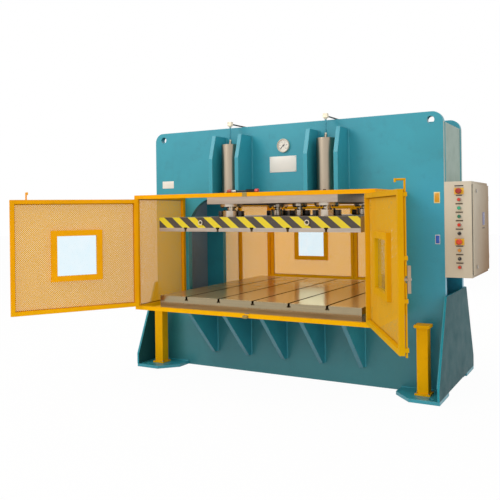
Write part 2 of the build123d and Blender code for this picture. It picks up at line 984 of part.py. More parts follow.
def right_hook_upper():
    return hook_bar(right_hook_x(), lever_pin_z + lever_reach())


def foot_bolt_tip():
    # The bolt shows just below the door and passes over its keeper until it is driven down.
    return front_low_z + guard_tube + door_gap - bolt_tip


def right_foot_bolt():
    y = -half_depth - front_reach - hook_rod_y()
    return post_at(right_hook_x(), y, foot_bolt_tip(), lever_pin_z - lever_reach(), hook_rod_d)


def right_lever():
    face = -half_depth - front_reach
    x = right_hook_x()
    hub_y = face - lever_standoff
    hub = pin_along_y(x, hub_y, face - fit_gap, lever_pin_z, lever_hub_d)
    arm = block(x - lever_width / 2, x + lever_width / 2, hub_y - lever_t, hub_y,
                lever_pin_z - lever_length / 2, lever_pin_z + lever_length / 2)
    return [hub, arm]


def swung(solids, side):
    # Turn a closed left door open about its hinge; the right door is its mirror image.
    angle = right_open_angle if side > 0 else left_open_angle
    axis = Pos(-hinge_axis_x(), -half_depth - front_reach - hinge_offset, 0)
    turned = [axis * Rot(0, 0, -angle) * axis.inverse() * solid for solid in solids]
    if side > 0:
        return [mirror(solid, Plane.YZ) for solid in turned]
    return turned


def mirrored(solids):
    return [mirror(solid, Plane.YZ) for solid in solids]


def to_rear(solids):
    return [mirror(solid, Plane.XZ) for solid in solids]


def save_front_doors():
    face = -half_depth - front_reach
    sizes = (front_reach, front_low_z, front_top_z)
    frame = door_frame(*sizes)
    left_x = -door_meeting_gap / 2 - left_hook_inset
    left_guides = hook_guides(left_x, face, [front_top_z - drop for drop in left_guide_drops])
    right_heights = [front_top_z - right_guide_end, lever_pin_z + right_guide_reach,
                     lever_pin_z - right_guide_reach, front_low_z + right_guide_end]
    right_guides = hook_guides(-right_hook_x(), face, right_heights)
    save("front_left_door_frame", swung(frame + left_guides, -1))
    save("front_left_door_mesh", swung(door_mesh(*sizes), -1))
    save("front_left_door_pane", swung(door_pane(*sizes), -1))
    save("front_left_door_hook", swung([left_hook()], -1))
    save("front_right_door_frame", swung(frame + right_guides, 1))
    save("front_right_door_mesh", swung(door_mesh(*sizes), 1))
    save("front_right_door_pane", swung(door_pane(*sizes), 1))
    save("right_hook_upper", swung(mirrored([right_hook_upper()]), 1))
    save("right_foot_bolt", swung(mirrored([right_foot_bolt()]), 1))
    save("right_lever", swung(mirrored(right_lever()), 1))


def save_rear_doors():
    sizes = (rear_reach, rear_low_z, rear_top_z)
    pieces = (("frame", door_frame(*sizes)), ("mesh", door_mesh(*sizes)),
              ("pane", door_pane(*sizes)))
    for name, solids in pieces:
        save("rear_left_door_" + name, to_rear(solids))
        save("rear_right_door_" + name, to_rear(mirrored(solids)))


def save_controls():
    for name, number in zip(("stop_upper", "stop_lower"), stop_places):
        save(name, stop_button(number))
    names = ("one", "two", "three", "four", "five", "six")
    for name, number in zip(names, push_places):
        save("button_" + name, push_button(number))
    for name, number in zip(("selector_upper", "selector_lower"), selector_places):
        save(name, selector(number))


def main():
    os.makedirs("parts", exist_ok=True)
    save("front_plate", [front_plate()])
    save("rear_plate", [rear_plate()])
    save("side_webs", side_webs())
    save("column_webs", column_webs())
    save("crown_webs", crown_webs())
    save("side_plates", side_plates())
    save("foot_plates", foot_plates())
    save("support_posts", support_posts())
    save("bed_plate", [bed_plate()])
    save("bed_webs", bed_webs())
    save("bed_gussets", bed_gussets())
    save("bolster_plate", [bolster_plate()])
    save("cylinder_plate", [cylinder_plate()])
    save("cylinder_ribs", cylinder_ribs())
    save("cylinder_barrels", cylinder_barrels())
    save("gland_flanges", gland_flanges())
    save("slide_platen", [slide_platen()] + lift_sockets())
    save("slide_rods", slide_rods())
    save("rod_flanges", rod_flanges())
    save("oil_pipes", oil_pipes())
    save("pipe_elbows", pipe_elbows())
    save("pressure_gauge", gauge_body())
    save("gauge_needle", gauge_needle())
    save("cabinet_box", cabinet_box() + cabinet_hinge_pins())
    save("cabinet_panel", cabinet_panel())
    save("cabinet_door", cabinet_door())
    lower, upper = lock_heights()
    save("door_lock_upper", door_lock(upper))
    save("door_lock_lower", door_lock(lower))
    save("control_plates", control_plates())
    save("control_bezels", control_bezels())
    save_controls()
    front = (front_reach, front_low_z, front_top_z, None)
    rear = (rear_reach, rear_low_z, rear_top_z, -mid_post_y)
    save("front_guard_frame", guard_cage(*front) + latch_seats())
    save("front_guard_mesh", cage_mesh(*front))
    save("rear_guard_frame", to_rear(guard_cage(*rear)))
    save("rear_guard_mesh", to_rear(cage_mesh(*rear)))
    save_front_doors()
    save_rear_doors()


main()
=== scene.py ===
import json
import math

import bmesh
import bpy
from bpy.props import FloatProperty, FloatVectorProperty, IntProperty, PointerProperty
from bpy.types import Operator, Panel, PropertyGroup
from mathutils import Matrix, Vector


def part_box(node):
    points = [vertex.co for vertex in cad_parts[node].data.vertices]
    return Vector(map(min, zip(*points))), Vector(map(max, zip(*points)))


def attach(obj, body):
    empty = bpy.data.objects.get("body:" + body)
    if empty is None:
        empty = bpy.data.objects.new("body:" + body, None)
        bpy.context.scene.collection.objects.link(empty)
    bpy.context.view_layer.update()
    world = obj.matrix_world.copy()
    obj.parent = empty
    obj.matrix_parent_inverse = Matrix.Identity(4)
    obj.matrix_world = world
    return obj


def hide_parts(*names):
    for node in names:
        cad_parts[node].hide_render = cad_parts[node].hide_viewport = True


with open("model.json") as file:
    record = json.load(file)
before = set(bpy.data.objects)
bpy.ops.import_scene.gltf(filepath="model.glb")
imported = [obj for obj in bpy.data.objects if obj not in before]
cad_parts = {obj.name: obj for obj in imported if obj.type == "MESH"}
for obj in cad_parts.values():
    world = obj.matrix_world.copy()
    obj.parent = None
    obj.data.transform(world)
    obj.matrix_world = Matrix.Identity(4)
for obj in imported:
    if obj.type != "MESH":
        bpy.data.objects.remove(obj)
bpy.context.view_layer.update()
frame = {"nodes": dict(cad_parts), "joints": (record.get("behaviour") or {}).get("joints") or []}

bl_info = {
    "name": "Hydraulic press looks",
    "version": (1, 0, 0),
    "blender": (4, 5, 0),
    "location": "View3D > Sidebar > Press",
    "description": "Finishes, perforated guards, fasteners, gauge face and studio for the press",
    "category": "Object",
}

JOINTS = {joint["name"]: joint for joint in frame["joints"]}
IMAGE_WIDTH = 500.0
SENSOR_MM = 36.0

# Places of the press that several pieces share, in metres

PLATE_FACE = 0.315
UNIT_REACH = 0.43
LATCH_X = 0.017
HINGE_LEAF = 0.042
DOOR_OUTER = 0.969
DOOR_INNER = 0.002
SWITCH_Y = -0.552
SWITCH_Z = 1.512

# Door plane, lower rail, upper rail and outward direction of each guard

GUARDS = {"front": (-0.983, 0.5715, 1.487, -1), "rear": (1.320, 0.588, 1.432, 1)}


def linear(red, green, blue):
    """A colour given as 0 to 255 screen values, in linear light."""
    def one(value):
        value /= 255.0
        return value / 12.92 if value <= 0.04045 else ((value + 0.055) / 1.055) ** 2.4
    return (one(red), one(green), one(blue))


def length(name, text, default):
    return FloatProperty(name=name, description=text, default=default, unit="LENGTH", precision=4)


def colour(name, text, red, green, blue):
    return FloatVectorProperty(name=name, description=text, size=3, subtype="COLOR",
                               default=linear(red, green, blue), min=0.0, max=1.0)


class PressSizes(PropertyGroup):
    """Sizes of the looks' own pieces."""

    hole_pitch: length("Hole pitch", "Side of one diamond cell of the guard sheets", 0.0100)
    hole_side: length("Hole side", "Side of one diamond hole of the guard sheets", 0.0037)
    window_open: length("Window opening", "Side of the opening in each door", 0.300)
    stripe_pitch: length("Stripe pitch", "Distance between hazard stripes along the slide", 0.1492)
    stripe_low: length("Stripe low edge", "Height of the lower edge of the striped band", 1.2235)
    weld_leg: length("Weld leg", "Radius of the weld beads on the frame", 0.0075)
    plate_edge: length("Plate edge", "Half width from which a plate side is an outer edge", 1.2945)
    web_low: length("Web low edge", "Height from which the outer edges are pale", 0.850)
    control_top: length("Top control", "Height of the top control on the cabinet", 1.474)
    control_pitch: length("Control pitch", "Distance between the controls", 0.0606)
    tube: length("Guard tube", "Width of the square tubes of the guards", 0.030)
    sign_width: length("Sign width", "Width of the blank plate under the gauge", 0.242)
    sign_height: length("Sign height", "Height of the blank plate under the gauge", 0.130)
    flange_bolts: IntProperty(name="Flange bolts", description="Bolts on each gland flange",
                              default=8, min=4)


class PressColours(PropertyGroup):
    """Colours that a user would change."""

    frame_paint: colour("Frame paint", "Teal paint of the welded frame", 48, 154, 172)
    # Painted shade: the teal of faces turned to the sides is darker.
    side_shade_paint: colour("Side shade paint", "Teal of the outer side plates, darker as painted shade", 34, 88, 94)
    # Painted reflection: the pale web colour stands in for a glancing reflection on the teal paint.
    web_sheen_paint: colour("Web sheen paint", "Painted glancing reflection on the recessed side webs", 140, 164, 152)
    guard_paint: colour("Guard paint", "Yellow paint of the guards", 244, 169, 4)
    post_paint: colour("Post paint", "Yellow paint near the floor", 244, 180, 0)
    sheet_paint: colour("Sheet paint", "Paint of the perforated sheets", 218, 168, 52)
    sheet_glow: colour("Sheet glow", "Colour of the light that comes through a sheet", 246, 176, 16)
    cabinet_paint: colour("Cabinet paint", "Beige paint of the cabinet", 216, 208, 190)
    steel: colour("Machined steel", "Milled and turned steel", 186, 172, 158)
    stripe_yellow: colour("Stripe yellow", "Yellow of the hazard stripes", 224, 201, 24)
    stripe_dark: colour("Stripe dark", "Dark of the hazard stripes", 66, 57, 50)


# Node trees

class Tree:
    """Short calls for adding and joining shader nodes."""

    def __init__(self, tree):
        self.tree = tree
        self.column = 0

    def add(self, kind, **settings):
        node = self.tree.nodes.new(kind)
        node.location = (self.column * 180, 0)
        self.column += 1
        for key, value in settings.items():
            setattr(node, key, value)
        return node

    def join(self, source, target):
        self.tree.links.new(source, target)

    def feed(self, socket, value):
        if isinstance(value, bpy.types.NodeSocket):
            self.join(value, socket)
        elif hasattr(value, "__len__") and len(value) == 3 and socket.type == "RGBA":
            socket.default_value = (*value, 1.0)
        else:
            socket.default_value = value

    def math(self, operation, first, second=0.0, clamp=False):
        node = self.add("ShaderNodeMath", operation=operation, use_clamp=clamp)
        self.feed(node.inputs[0], first)
        self.feed(node.inputs[1], second)
        return node.outputs[0]

    def blend(self, factor, first, second, mode="MIX"):
        node = self.add("ShaderNodeMix", data_type="RGBA", blend_type=mode)
        self.feed(node.inputs["Factor"], factor)
        self.feed(node.inputs["A"], first)
        self.feed(node.inputs["B"], second)
        return node.outputs["Result"]

    def noise(self, vector, scale, detail=3.0, roughness=0.5):
        node = self.add("ShaderNodeTexNoise")
        self.join(vector, node.inputs["Vector"])
        self.feed(node.inputs["Scale"], scale)
        node.inputs["Detail"].default_value = detail
        node.inputs["Roughness"].default_value = roughness
        return node.outputs["Fac"]

    def stretch(self, factor, low, high, new_low=0.0, new_high=1.0):
        node = self.add("ShaderNodeMapRange", clamp=True)
        self.feed(node.inputs["Value"], factor)
        for name, value in (("From Min", low), ("From Max", high), ("To Min", new_low),
                            ("To Max", new_high)):
            self.feed(node.inputs[name], value)
        return node.outputs["Result"]

    def place(self):
        """Where a point of the piece lies, in metres."""
        return self.add("ShaderNodeTexCoord").outputs["Object"]

    def parts(self, vector):
        node = self.add("ShaderNodeSeparateXYZ")
        self.join(vector, node.inputs[0])
        return node.outputs

    def facing(self):
        """The three parts of the direction in which a face points."""
        return self.parts(self.add("ShaderNodeNewGeometry").outputs["True Normal"])

    def tint(self, value, factors):
        return self.blend(1.0, value, factors, "MULTIPLY")

    def away(self, value, centre):
        """Distance of a value from a centre."""
        return self.math("ABSOLUTE", self.math("SUBTRACT", value, centre))

    def seen(self):
        """1 for rays that show a surface directly, mirrored or through glass."""
        light = self.add("ShaderNodeLightPath")
        indirect = self.math("MAXIMUM", light.outputs["Is Glossy Ray"],
                             light.outputs["Is Transmission Ray"])
        return self.math("MAXIMUM", light.outputs["Is Camera Ray"], indirect)


def new_group(name, inputs, outputs):
    """A shader node group with named sockets; each entry is (name, kind, default)."""
    group = bpy.data.node_groups.new(name, "ShaderNodeTree")
    for label, kind, default in inputs:
        socket = group.interface.new_socket(name=label, in_out="INPUT", socket_type=kind)
        if default is not None:
            socket.default_value = default
    for label, kind in outputs:
        group.interface.new_socket(name=label, in_out="OUTPUT", socket_type=kind)
    tree = Tree(group)
    return group, tree, tree.add("NodeGroupInput"), tree.add("NodeGroupOutput")


def paint_coat_group():
    """Colour drift, grime, pale edges that are partly wear and partly painted highlight, painted
    shade on faces turned down, and orange peel of a painted surface.
    """
    group, tree, source, sink = new_group(
        "Paint coat",
        [("Colour", "NodeSocketColor", (0.5, 0.5, 0.5, 1.0)),
         ("Grime colour", "NodeSocketColor", (0.1, 0.1, 0.1, 1.0)),
         ("Edge colour", "NodeSocketColor", (0.9, 0.9, 0.9, 1.0)),
         ("Drift", "NodeSocketFloat", 0.1), ("Grime", "NodeSocketFloat", 0.2),
         ("Edge", "NodeSocketFloat", 0.5), ("Edge width", "NodeSocketFloat", 0.003),
         ("Roughness", "NodeSocketFloat", 0.35)],
        [("Colour", "NodeSocketColor"), ("Roughness", "NodeSocketFloat"),
         ("Height", "NodeSocketFloat"), ("Normal", "NodeSocketVector")])
    place = tree.place()
    # Painted shade: faces turned down are darkened towards a dark tint of the paint.
    under = tree.stretch(tree.facing()[2], -0.15, -0.6, 0.0, 0.6)
    cloud = tree.noise(place, 2.3, 4.0)
    blotch = tree.noise(place, 9.0, 6.0, 0.62)
    speck = tree.noise(place, 70.0, 5.0, 0.7)
    bright = tree.tint(source.outputs["Colour"], (1.12, 1.10, 1.08))
    dull = tree.tint(source.outputs["Colour"], (0.84, 0.87, 0.88))
    drifted = tree.blend(tree.stretch(cloud, 0.32, 0.68), dull, bright)
    colour_now = tree.blend(source.outputs["Drift"], source.outputs["Colour"], drifted)
    grime = tree.math("MULTIPLY", tree.stretch(blotch, 0.52, 0.78), tree.stretch(speck, 0.35, 0.7))
    grime = tree.math("MULTIPLY", grime, source.outputs["Grime"], True)
    colour_now = tree.blend(grime, colour_now, source.outputs["Grime colour"])
    bevel = tree.add("ShaderNodeBevel", samples=4)
    tree.join(source.outputs["Edge width"], bevel.inputs["Radius"])
    geometry = tree.add("ShaderNodeNewGeometry")
    dot = tree.add("ShaderNodeVectorMath", operation="DOT_PRODUCT")
    tree.join(bevel.outputs["Normal"], dot.inputs[0])
    tree.join(geometry.outputs["Normal"], dot.inputs[1])
    edge = tree.stretch(dot.outputs["Value"], 0.985, 0.80)
    # Pale edges: partly wear, partly a painted highlight where the edges catch the light.
    edge_wear_and_highlight = tree.math("MULTIPLY", edge, tree.stretch(speck, 0.38, 0.55, 0.55, 1.0))
    edge_wear_and_highlight = tree.math("MULTIPLY", edge_wear_and_highlight, source.outputs["Edge"], True)
    colour_now = tree.blend(edge_wear_and_highlight, colour_now, source.outputs["Edge colour"])
    # Painted shade on the faces turned down.
    colour_now = tree.blend(under, colour_now, tree.tint(colour_now, (0.30, 0.34, 0.36)))
    rough = tree.math("ADD", source.outputs["Roughness"],
                      tree.stretch(blotch, 0.3, 0.7, -0.05, 0.07))
    peel = tree.math("ADD", tree.math("MULTIPLY", tree.noise(place, 260.0, 2.0), 0.6),
                     tree.math("MULTIPLY", tree.noise(place, 34.0, 2.0), 0.6))
    tree.join(colour_now, sink.inputs["Colour"])
    tree.join(rough, sink.inputs["Roughness"])
    tree.join(peel, sink.inputs["Height"])
    tree.join(bevel.outputs["Normal"], sink.inputs["Normal"])
    return group


def metal_grain_group():
    """Tool marks along one direction, with stains and a soft edge, for bare steel."""
    group, tree, source, sink = new_group(
        "Metal grain",
        [("Colour", "NodeSocketColor", (0.5, 0.5, 0.5, 1.0)),
         ("Stain colour", "NodeSocketColor", (0.2, 0.15, 0.1, 1.0)),
         ("Grain", "NodeSocketVector", (1.0, 1.0, 1.0)),
         ("Marks", "NodeSocketFloat", 0.3), ("Stains", "NodeSocketFloat", 0.2),
         ("Roughness", "NodeSocketFloat", 0.3), ("Edge width", "NodeSocketFloat", 0.002)],
        [("Colour", "NodeSocketColor"), ("Roughness", "NodeSocketFloat"),
         ("Height", "NodeSocketFloat"), ("Normal", "NodeSocketVector")])
    place = tree.place()
    stretched = tree.add("ShaderNodeVectorMath", operation="MULTIPLY")
    tree.join(place, stretched.inputs[0])
    tree.join(source.outputs["Grain"], stretched.inputs[1])
    line = tree.noise(stretched.outputs[0], 1.0, 4.0, 0.6)
    broad = tree.noise(place, 3.1, 4.0, 0.6)
    spot = tree.noise(place, 26.0, 5.0, 0.65)
    pale = tree.tint(source.outputs["Colour"], (1.16, 1.15, 1.14))
    dark = tree.tint(source.outputs["Colour"], (0.80, 0.79, 0.78))
    lined = tree.blend(tree.stretch(line, 0.35, 0.65), dark, pale)
    colour_now = tree.blend(source.outputs["Marks"], source.outputs["Colour"], lined)
    stain = tree.math("MULTIPLY", tree.stretch(broad, 0.45, 0.75), tree.stretch(spot, 0.35, 0.75))
    stain = tree.math("MULTIPLY", stain, source.outputs["Stains"], True)
    colour_now = tree.blend(stain, colour_now, source.outputs["Stain colour"])
    rough = tree.math("ADD", source.outputs["Roughness"],
                      tree.stretch(line, 0.3, 0.7, -0.05, 0.06))
    rough = tree.math("ADD", rough, tree.math("MULTIPLY", stain, 0.4), True)
    bevel = tree.add("ShaderNodeBevel", samples=4)
    tree.join(source.outputs["Edge width"], bevel.inputs["Radius"])
    tree.join(colour_now, sink.inputs["Colour"])
    tree.join(rough, sink.inputs["Roughness"])
    tree.join(line, sink.inputs["Height"])
    tree.join(bevel.outputs["Normal"], sink.inputs["Normal"])
    return group


def start_material(name, metallic=0.0, coat=0.0, specular=0.5):
    material = bpy.data.materials.new(name)
    material.use_nodes = True
    tree = Tree(material.node_tree)
    shader = material.node_tree.nodes["Principled BSDF"]
    shader.inputs["Metallic"].default_value = metallic
    shader.inputs["Coat Weight"].default_value = coat
    shader.inputs["Coat Roughness"].default_value = 0.12
    shader.inputs["Specular IOR Level"].default_value = specular
    return material, tree, shader


def add_bump(tree, shader, height, normal, strength, distance):
    bump = tree.add("ShaderNodeBump")
    bump.inputs["Strength"].default_value = strength
    bump.inputs["Distance"].default_value = distance
    tree.join(height, bump.inputs["Height"])
    tree.join(normal, bump.inputs["Normal"])
    tree.join(bump.outputs["Normal"], shader.inputs["Normal"])


def painted(name, group, base, grime=(0.03, 0.03, 0.03), edge=(0.8, 0.8, 0.8), drift=0.5,
            grime_amount=0.25, edge_amount=0.4, edge_width=0.003, roughness=0.38, coat=0.15,
            bump=0.12, specular=0.5):
    material, tree, shader = start_material(name, coat=coat, specular=specular)
    node = tree.add("ShaderNodeGroup", node_tree=group)
    for label, value in (("Colour", base), ("Grime colour", grime), ("Edge colour", edge),
                         ("Drift", drift), ("Grime", grime_amount), ("Edge", edge_amount),
                         ("Edge width", edge_width), ("Roughness", roughness)):
        tree.feed(node.inputs[label], value)
    tree.join(node.outputs["Colour"], shader.inputs["Base Color"])
    tree.join(node.outputs["Roughness"], shader.inputs["Roughness"])
    add_bump(tree, shader, node.outputs["Height"], node.outputs["Normal"], bump, 0.001)
    return material


def coat_of(material):
    """The paint group of a painted material, and calls for its tree."""
    node = next(node for node in material.node_tree.nodes if node.type == "GROUP")
    return node, Tree(material.node_tree)


def metal_of(material):
    """The shader of a bare metal, and calls for its tree."""
    return material.node_tree.nodes["Principled BSDF"], Tree(material.node_tree)


def source_of(shader, label):
    """What feeds one socket of a shader now."""
    return shader.inputs[label].links[0].from_socket


def lay_over(material, tree, upper, factor):
    """Mixes a second shader into what a material puts out."""
    output = next(node for node in material.node_tree.nodes if node.type == "OUTPUT_MATERIAL")
    mix = tree.add("ShaderNodeMixShader")
    tree.feed(mix.inputs[0], factor)
    tree.join(output.inputs["Surface"].links[0].from_socket, mix.inputs[1])
    tree.join(upper.outputs[0], mix.inputs[2])
    tree.join(mix.outputs[0], output.inputs["Surface"])


def guard_yellow(name, group, colours):
    """Guard paint, more lemon near the floor, with painted shade on the right front door and bare
    steel where the latches bear.
    """
    material = painted(name, group, colours.guard_paint, linear(120, 70, 10),
                       linear(255, 206, 96), drift=0.4, grime_amount=0.25, edge_amount=0.35,
                       edge_width=0.0025, roughness=0.45, coat=0.0, specular=0.06)
    coat, tree = coat_of(material)
    x, y, z = tree.parts(tree.place())
    low = tree.stretch(z, 0.72, 0.58)
    paint = tree.blend(low, colours.guard_paint, colours.post_paint)
    # Painted shade: the right front door is darker, as its outer face turns away from the light.
    paint = tree.blend(right_door(tree), paint, tree.tint(paint, (0.78, 0.88, 0.6)))
    rail_y, middle_z, rail_rise = -0.9955, 1.024, 0.43
    across = tree.math("LESS_THAN", tree.away(x, LATCH_X), 0.0185)
    depth = tree.math("LESS_THAN", tree.away(y, rail_y), 0.012)
    on_rail = tree.math("GREATER_THAN", tree.away(z, middle_z), rail_rise)
    seat = tree.math("MULTIPLY", across, tree.math("MULTIPLY", depth, on_rail))
    tree.join(tree.blend(seat, paint, linear(158, 140, 84)), coat.inputs["Colour"])
    return material


def right_door(tree):
    """1 on the right front door, whose outer face turns away from the light and so gets painted
    shade, and 0 elsewhere.
    """
    x, y, _ = tree.parts(tree.place())
    left_end, back_end = 0.9, -1.02
    return tree.math("MULTIPLY", tree.math("GREATER_THAN", x, left_end),
                     tree.math("LESS_THAN", y, back_end))


def sheet_yellow(name, group, colours):
    """Thin punched sheet, with some of the light from behind coming through its holes, and painted
    shade on the right front door.
    """
    material = painted(name, group, colours.sheet_paint, linear(160, 110, 30),
                       linear(250, 200, 110), drift=0.4, grime_amount=0.15, edge_amount=0.0,
                       roughness=0.5, coat=0.0, specular=0.12)
    coat, tree = coat_of(material)
    # Painted shade on the right front door.
    shaded = tree.tint(colours.sheet_paint, (0.9, 0.9, 0.95))
    tree.join(tree.blend(right_door(tree), colours.sheet_paint, shaded), coat.inputs["Colour"])
    through = tree.add("ShaderNodeBsdfTranslucent")
    through.inputs["Color"].default_value = (*colours.sheet_glow, 1.0)
    lay_over(material, tree, through, 0.42)
    return material


def cabinet_beige(name, group, colours):
    """Cabinet paint with painted shade on its right side, browner and darker away from the front
    and lower down.
    """
    material = painted(name, group, colours.cabinet_paint, linear(110, 98, 80),
                       linear(238, 230, 214), drift=0.3, grime_amount=0.18, edge_amount=0.5,
                       edge_width=0.002, roughness=0.5, bump=0.3, coat=0.0, specular=0.06)
    coat, tree = coat_of(material)
    # Painted shade: the right side turns browner and darker towards the back and the bottom.
    on_side = tree.math("GREATER_THAN", tree.facing()[0], 0.9)
    _, y, z = tree.parts(tree.place())
    back = tree.math("ADD", tree.stretch(y, -0.30, 0.32, 0.1, 0.65),
                     tree.stretch(z, 1.55, 0.85, 0.0, 0.35))
    shade = tree.math("MULTIPLY", on_side, back, True)
    tree.join(tree.blend(shade, colours.cabinet_paint, linear(128, 84, 18)),
              coat.inputs["Colour"])
    return material


def bolster_steel(name, group):
    """Milled plate: a nearly mirror-bright top whose golden colour and golden diffuse layer are
    painted reflection of the yellow guards, and duller sides.
    """
    material = bare_metal(name, group, linear(208, 190, 156), (2.5, 120.0, 90.0),
                          roughness=0.13, marks=0.4, stains=0.25, bump=0.03)
    shader, tree = metal_of(material)
    # The golden top colour is a painted reflection of the yellow guards.
    golden = source_of(shader, "Base Color")
    grey = tree.tint(golden, (0.58, 0.58, 0.56))
    top = tree.math("GREATER_THAN", tree.facing()[2], 0.5)
    tree.join(tree.blend(top, grey, golden), shader.inputs["Base Color"])
    shader.inputs["Specular Tint"].default_value = (0.98, 0.90, 0.66, 1.0)
    # Painted reflection: a golden diffuse layer over the top.
    reflection_layer = tree.add("ShaderNodeBsdfDiffuse")
    reflection_layer.inputs["Color"].default_value = (*linear(216, 194, 146), 1.0)
    lay_over(material, tree, reflection_layer, tree.math("MULTIPLY", top, 0.33))
    return material


def pipe_steel(name, group):
    """Polished pipe, dark, with the teal of the plate behind it painted on as a reflection up to
    its bend.
    """
    material = bare_metal(name, group, linear(58, 58, 54), (40.0, 3.0, 40.0), roughness=0.22,
                          marks=0.3)
    shader, tree = metal_of(material)
    bend_z = 2.064
    # Painted reflection: below the bend the pipe takes the teal of the plate behind it.
    upright = tree.math("LESS_THAN", tree.parts(tree.place())[2], bend_z)
    painted_reflection = tree.blend(upright, source_of(shader, "Base Color"), linear(74, 142, 156))
    tree.join(painted_reflection, shader.inputs["Base Color"])
    return material


def round_steel(name, group, base, roughness, depth):
    """Turned steel of upright cylinders, with painted reflections of a dark hall: long soft bands
    and darker rims in the base colour.
    """
    material = bare_metal(name, group, base, (60.0, 60.0, 0.6), roughness=roughness, marks=0.10,
                          stains=0.08, bump=0.004)
    shader, tree = metal_of(material)
    plain = source_of(shader, "Base Color")
    # Painted reflection: bands round the cylinder and a darker rim, scaled by depth, stand in for
    # the dark hall mirrored in the steel.
    x, y, z = tree.parts(tree.add("ShaderNodeNewGeometry").outputs["Normal"])
    turn = tree.math("ARCTAN2", x, tree.math("MULTIPLY", y, -1.0))

    def wave(count, start):
        return tree.math("SINE", tree.math("ADD", tree.math("MULTIPLY", turn, count), start))

    narrow = tree.math("MULTIPLY", wave(5.0, 1.1), 0.5)
    broad = tree.math("MULTIPLY", wave(2.0, 0.2), 0.5)
    reflection_bands = tree.stretch(tree.math("ADD", narrow, broad), 1.0, -1.0, 0.0, 0.4)
    upright = tree.math("LESS_THAN", tree.math("ABSOLUTE", z), 0.5)
    facing = tree.add("ShaderNodeLayerWeight")
    facing.inputs["Blend"].default_value = 0.45
    rim = tree.stretch(facing.outputs["Facing"], 0.45, 0.95)
    shade = tree.math("ADD", tree.math("MULTIPLY", rim, 0.75), reflection_bands)
    shade = tree.math("MULTIPLY", tree.math("MULTIPLY", shade, upright), depth, True)
    tree.join(tree.blend(shade, plain, linear(70, 58, 48)), shader.inputs["Base Color"])
    return material


def legend_plate(name, group, sizes):
    """Square stop-button plates in yellow; the small plates are beige with a bare dark bar."""
    material = plastic(name, group, linear(240, 184, 40))
    coat, tree = coat_of(material)
    z = tree.parts(tree.place())[2]
    pitch = sizes.control_pitch
    step = tree.math("DIVIDE", tree.math("SUBTRACT", z, sizes.control_top + pitch / 2), pitch)
    off = tree.away(step, tree.math("ROUND", step))
    bar_half, plate_half = 0.0042, 0.0075
    bar = tree.math("LESS_THAN", off, bar_half / pitch)
    legend = tree.math("LESS_THAN", off, plate_half / pitch)
    small = tree.blend(bar, linear(206, 192, 168), linear(52, 46, 42))
    tree.join(tree.blend(legend, linear(240, 184, 40), small), coat.inputs["Colour"])
    return material


def side_shade_paint(name, group, colours, edge):
    """Frame paint with painted shade on the faces turned to the sides."""
    material = painted(name, group, colours.frame_paint, linear(30, 56, 62), edge, drift=0.5,
                       grime_amount=0.4, edge_amount=0.5, edge_width=0.004, coat=0.0,
                       specular=0.03)
    coat, tree = coat_of(material)
    # Painted shade on the faces turned to the sides.
    aside = tree.math("GREATER_THAN", tree.math("ABSOLUTE", tree.facing()[0]), 0.9)
    tree.join(tree.blend(aside, colours.frame_paint, colours.side_shade_paint), coat.inputs["Colour"])
    return material


def plate_paint(name, group, sizes, colours, edge):
    """Frame paint, duskier low down, with a bluer tint painted on the right column where it has
    less sheen, and the pale web colour painted as a glancing reflection on its outer edges.
    """
    material = painted(name, group, colours.frame_paint, linear(40, 70, 80), edge, drift=0.55,
                       grime_amount=0.35, edge_amount=0.55, edge_width=0.004)
    coat, tree = coat_of(material)
    aside = tree.math("GREATER_THAN", tree.math("ABSOLUTE", tree.facing()[0]), 0.9)
    x, _, z = tree.parts(tree.place())
    outer = tree.math("GREATER_THAN", tree.math("ABSOLUTE", x), sizes.plate_edge)
    high = tree.math("GREATER_THAN", z, sizes.web_low)
    # Painted reflection on the outer side faces above the web edge.
    recessed = tree.math("MULTIPLY", tree.math("MULTIPLY", aside, outer), high)
    dusky = tree.tint(colours.frame_paint, (1.02, 0.66, 0.60))
    teal = tree.blend(tree.stretch(z, 0.75, 0.35), colours.frame_paint, dusky)
    # Painted light: the right column is tinted bluer, as it has less of the pale sheen seen on the
    # left.
    beside = tree.math("MULTIPLY", tree.stretch(x, 0.95, 1.15), tree.stretch(z, 1.75, 1.35))
    teal = tree.blend(beside, teal, tree.tint(teal, (1.0, 1.12, 1.30)))
    tree.join(tree.blend(recessed, teal, colours.web_sheen_paint), coat.inputs["Colour"])
    return material


def bare_metal(name, group, base, grain, stain=(0.16, 0.10, 0.06), marks=0.5, stains=0.3,
               roughness=0.3, metallic=1.0, edge_width=0.002, bump=0.1):
    material, tree, shader = start_material(name, metallic=metallic)
    node = tree.add("ShaderNodeGroup", node_tree=group)
    for label, value in (("Colour", base), ("Stain colour", stain), ("Grain", grain),
                         ("Marks", marks), ("Stains", stains), ("Roughness", roughness),
                         ("Edge width", edge_width)):
        tree.feed(node.inputs[label], value)
    tree.join(node.outputs["Colour"], shader.inputs["Base Color"])
    tree.join(node.outputs["Roughness"], shader.inputs["Roughness"])
    add_bump(tree, shader, node.outputs["Height"], node.outputs["Normal"], bump, 0.0004)
    return material


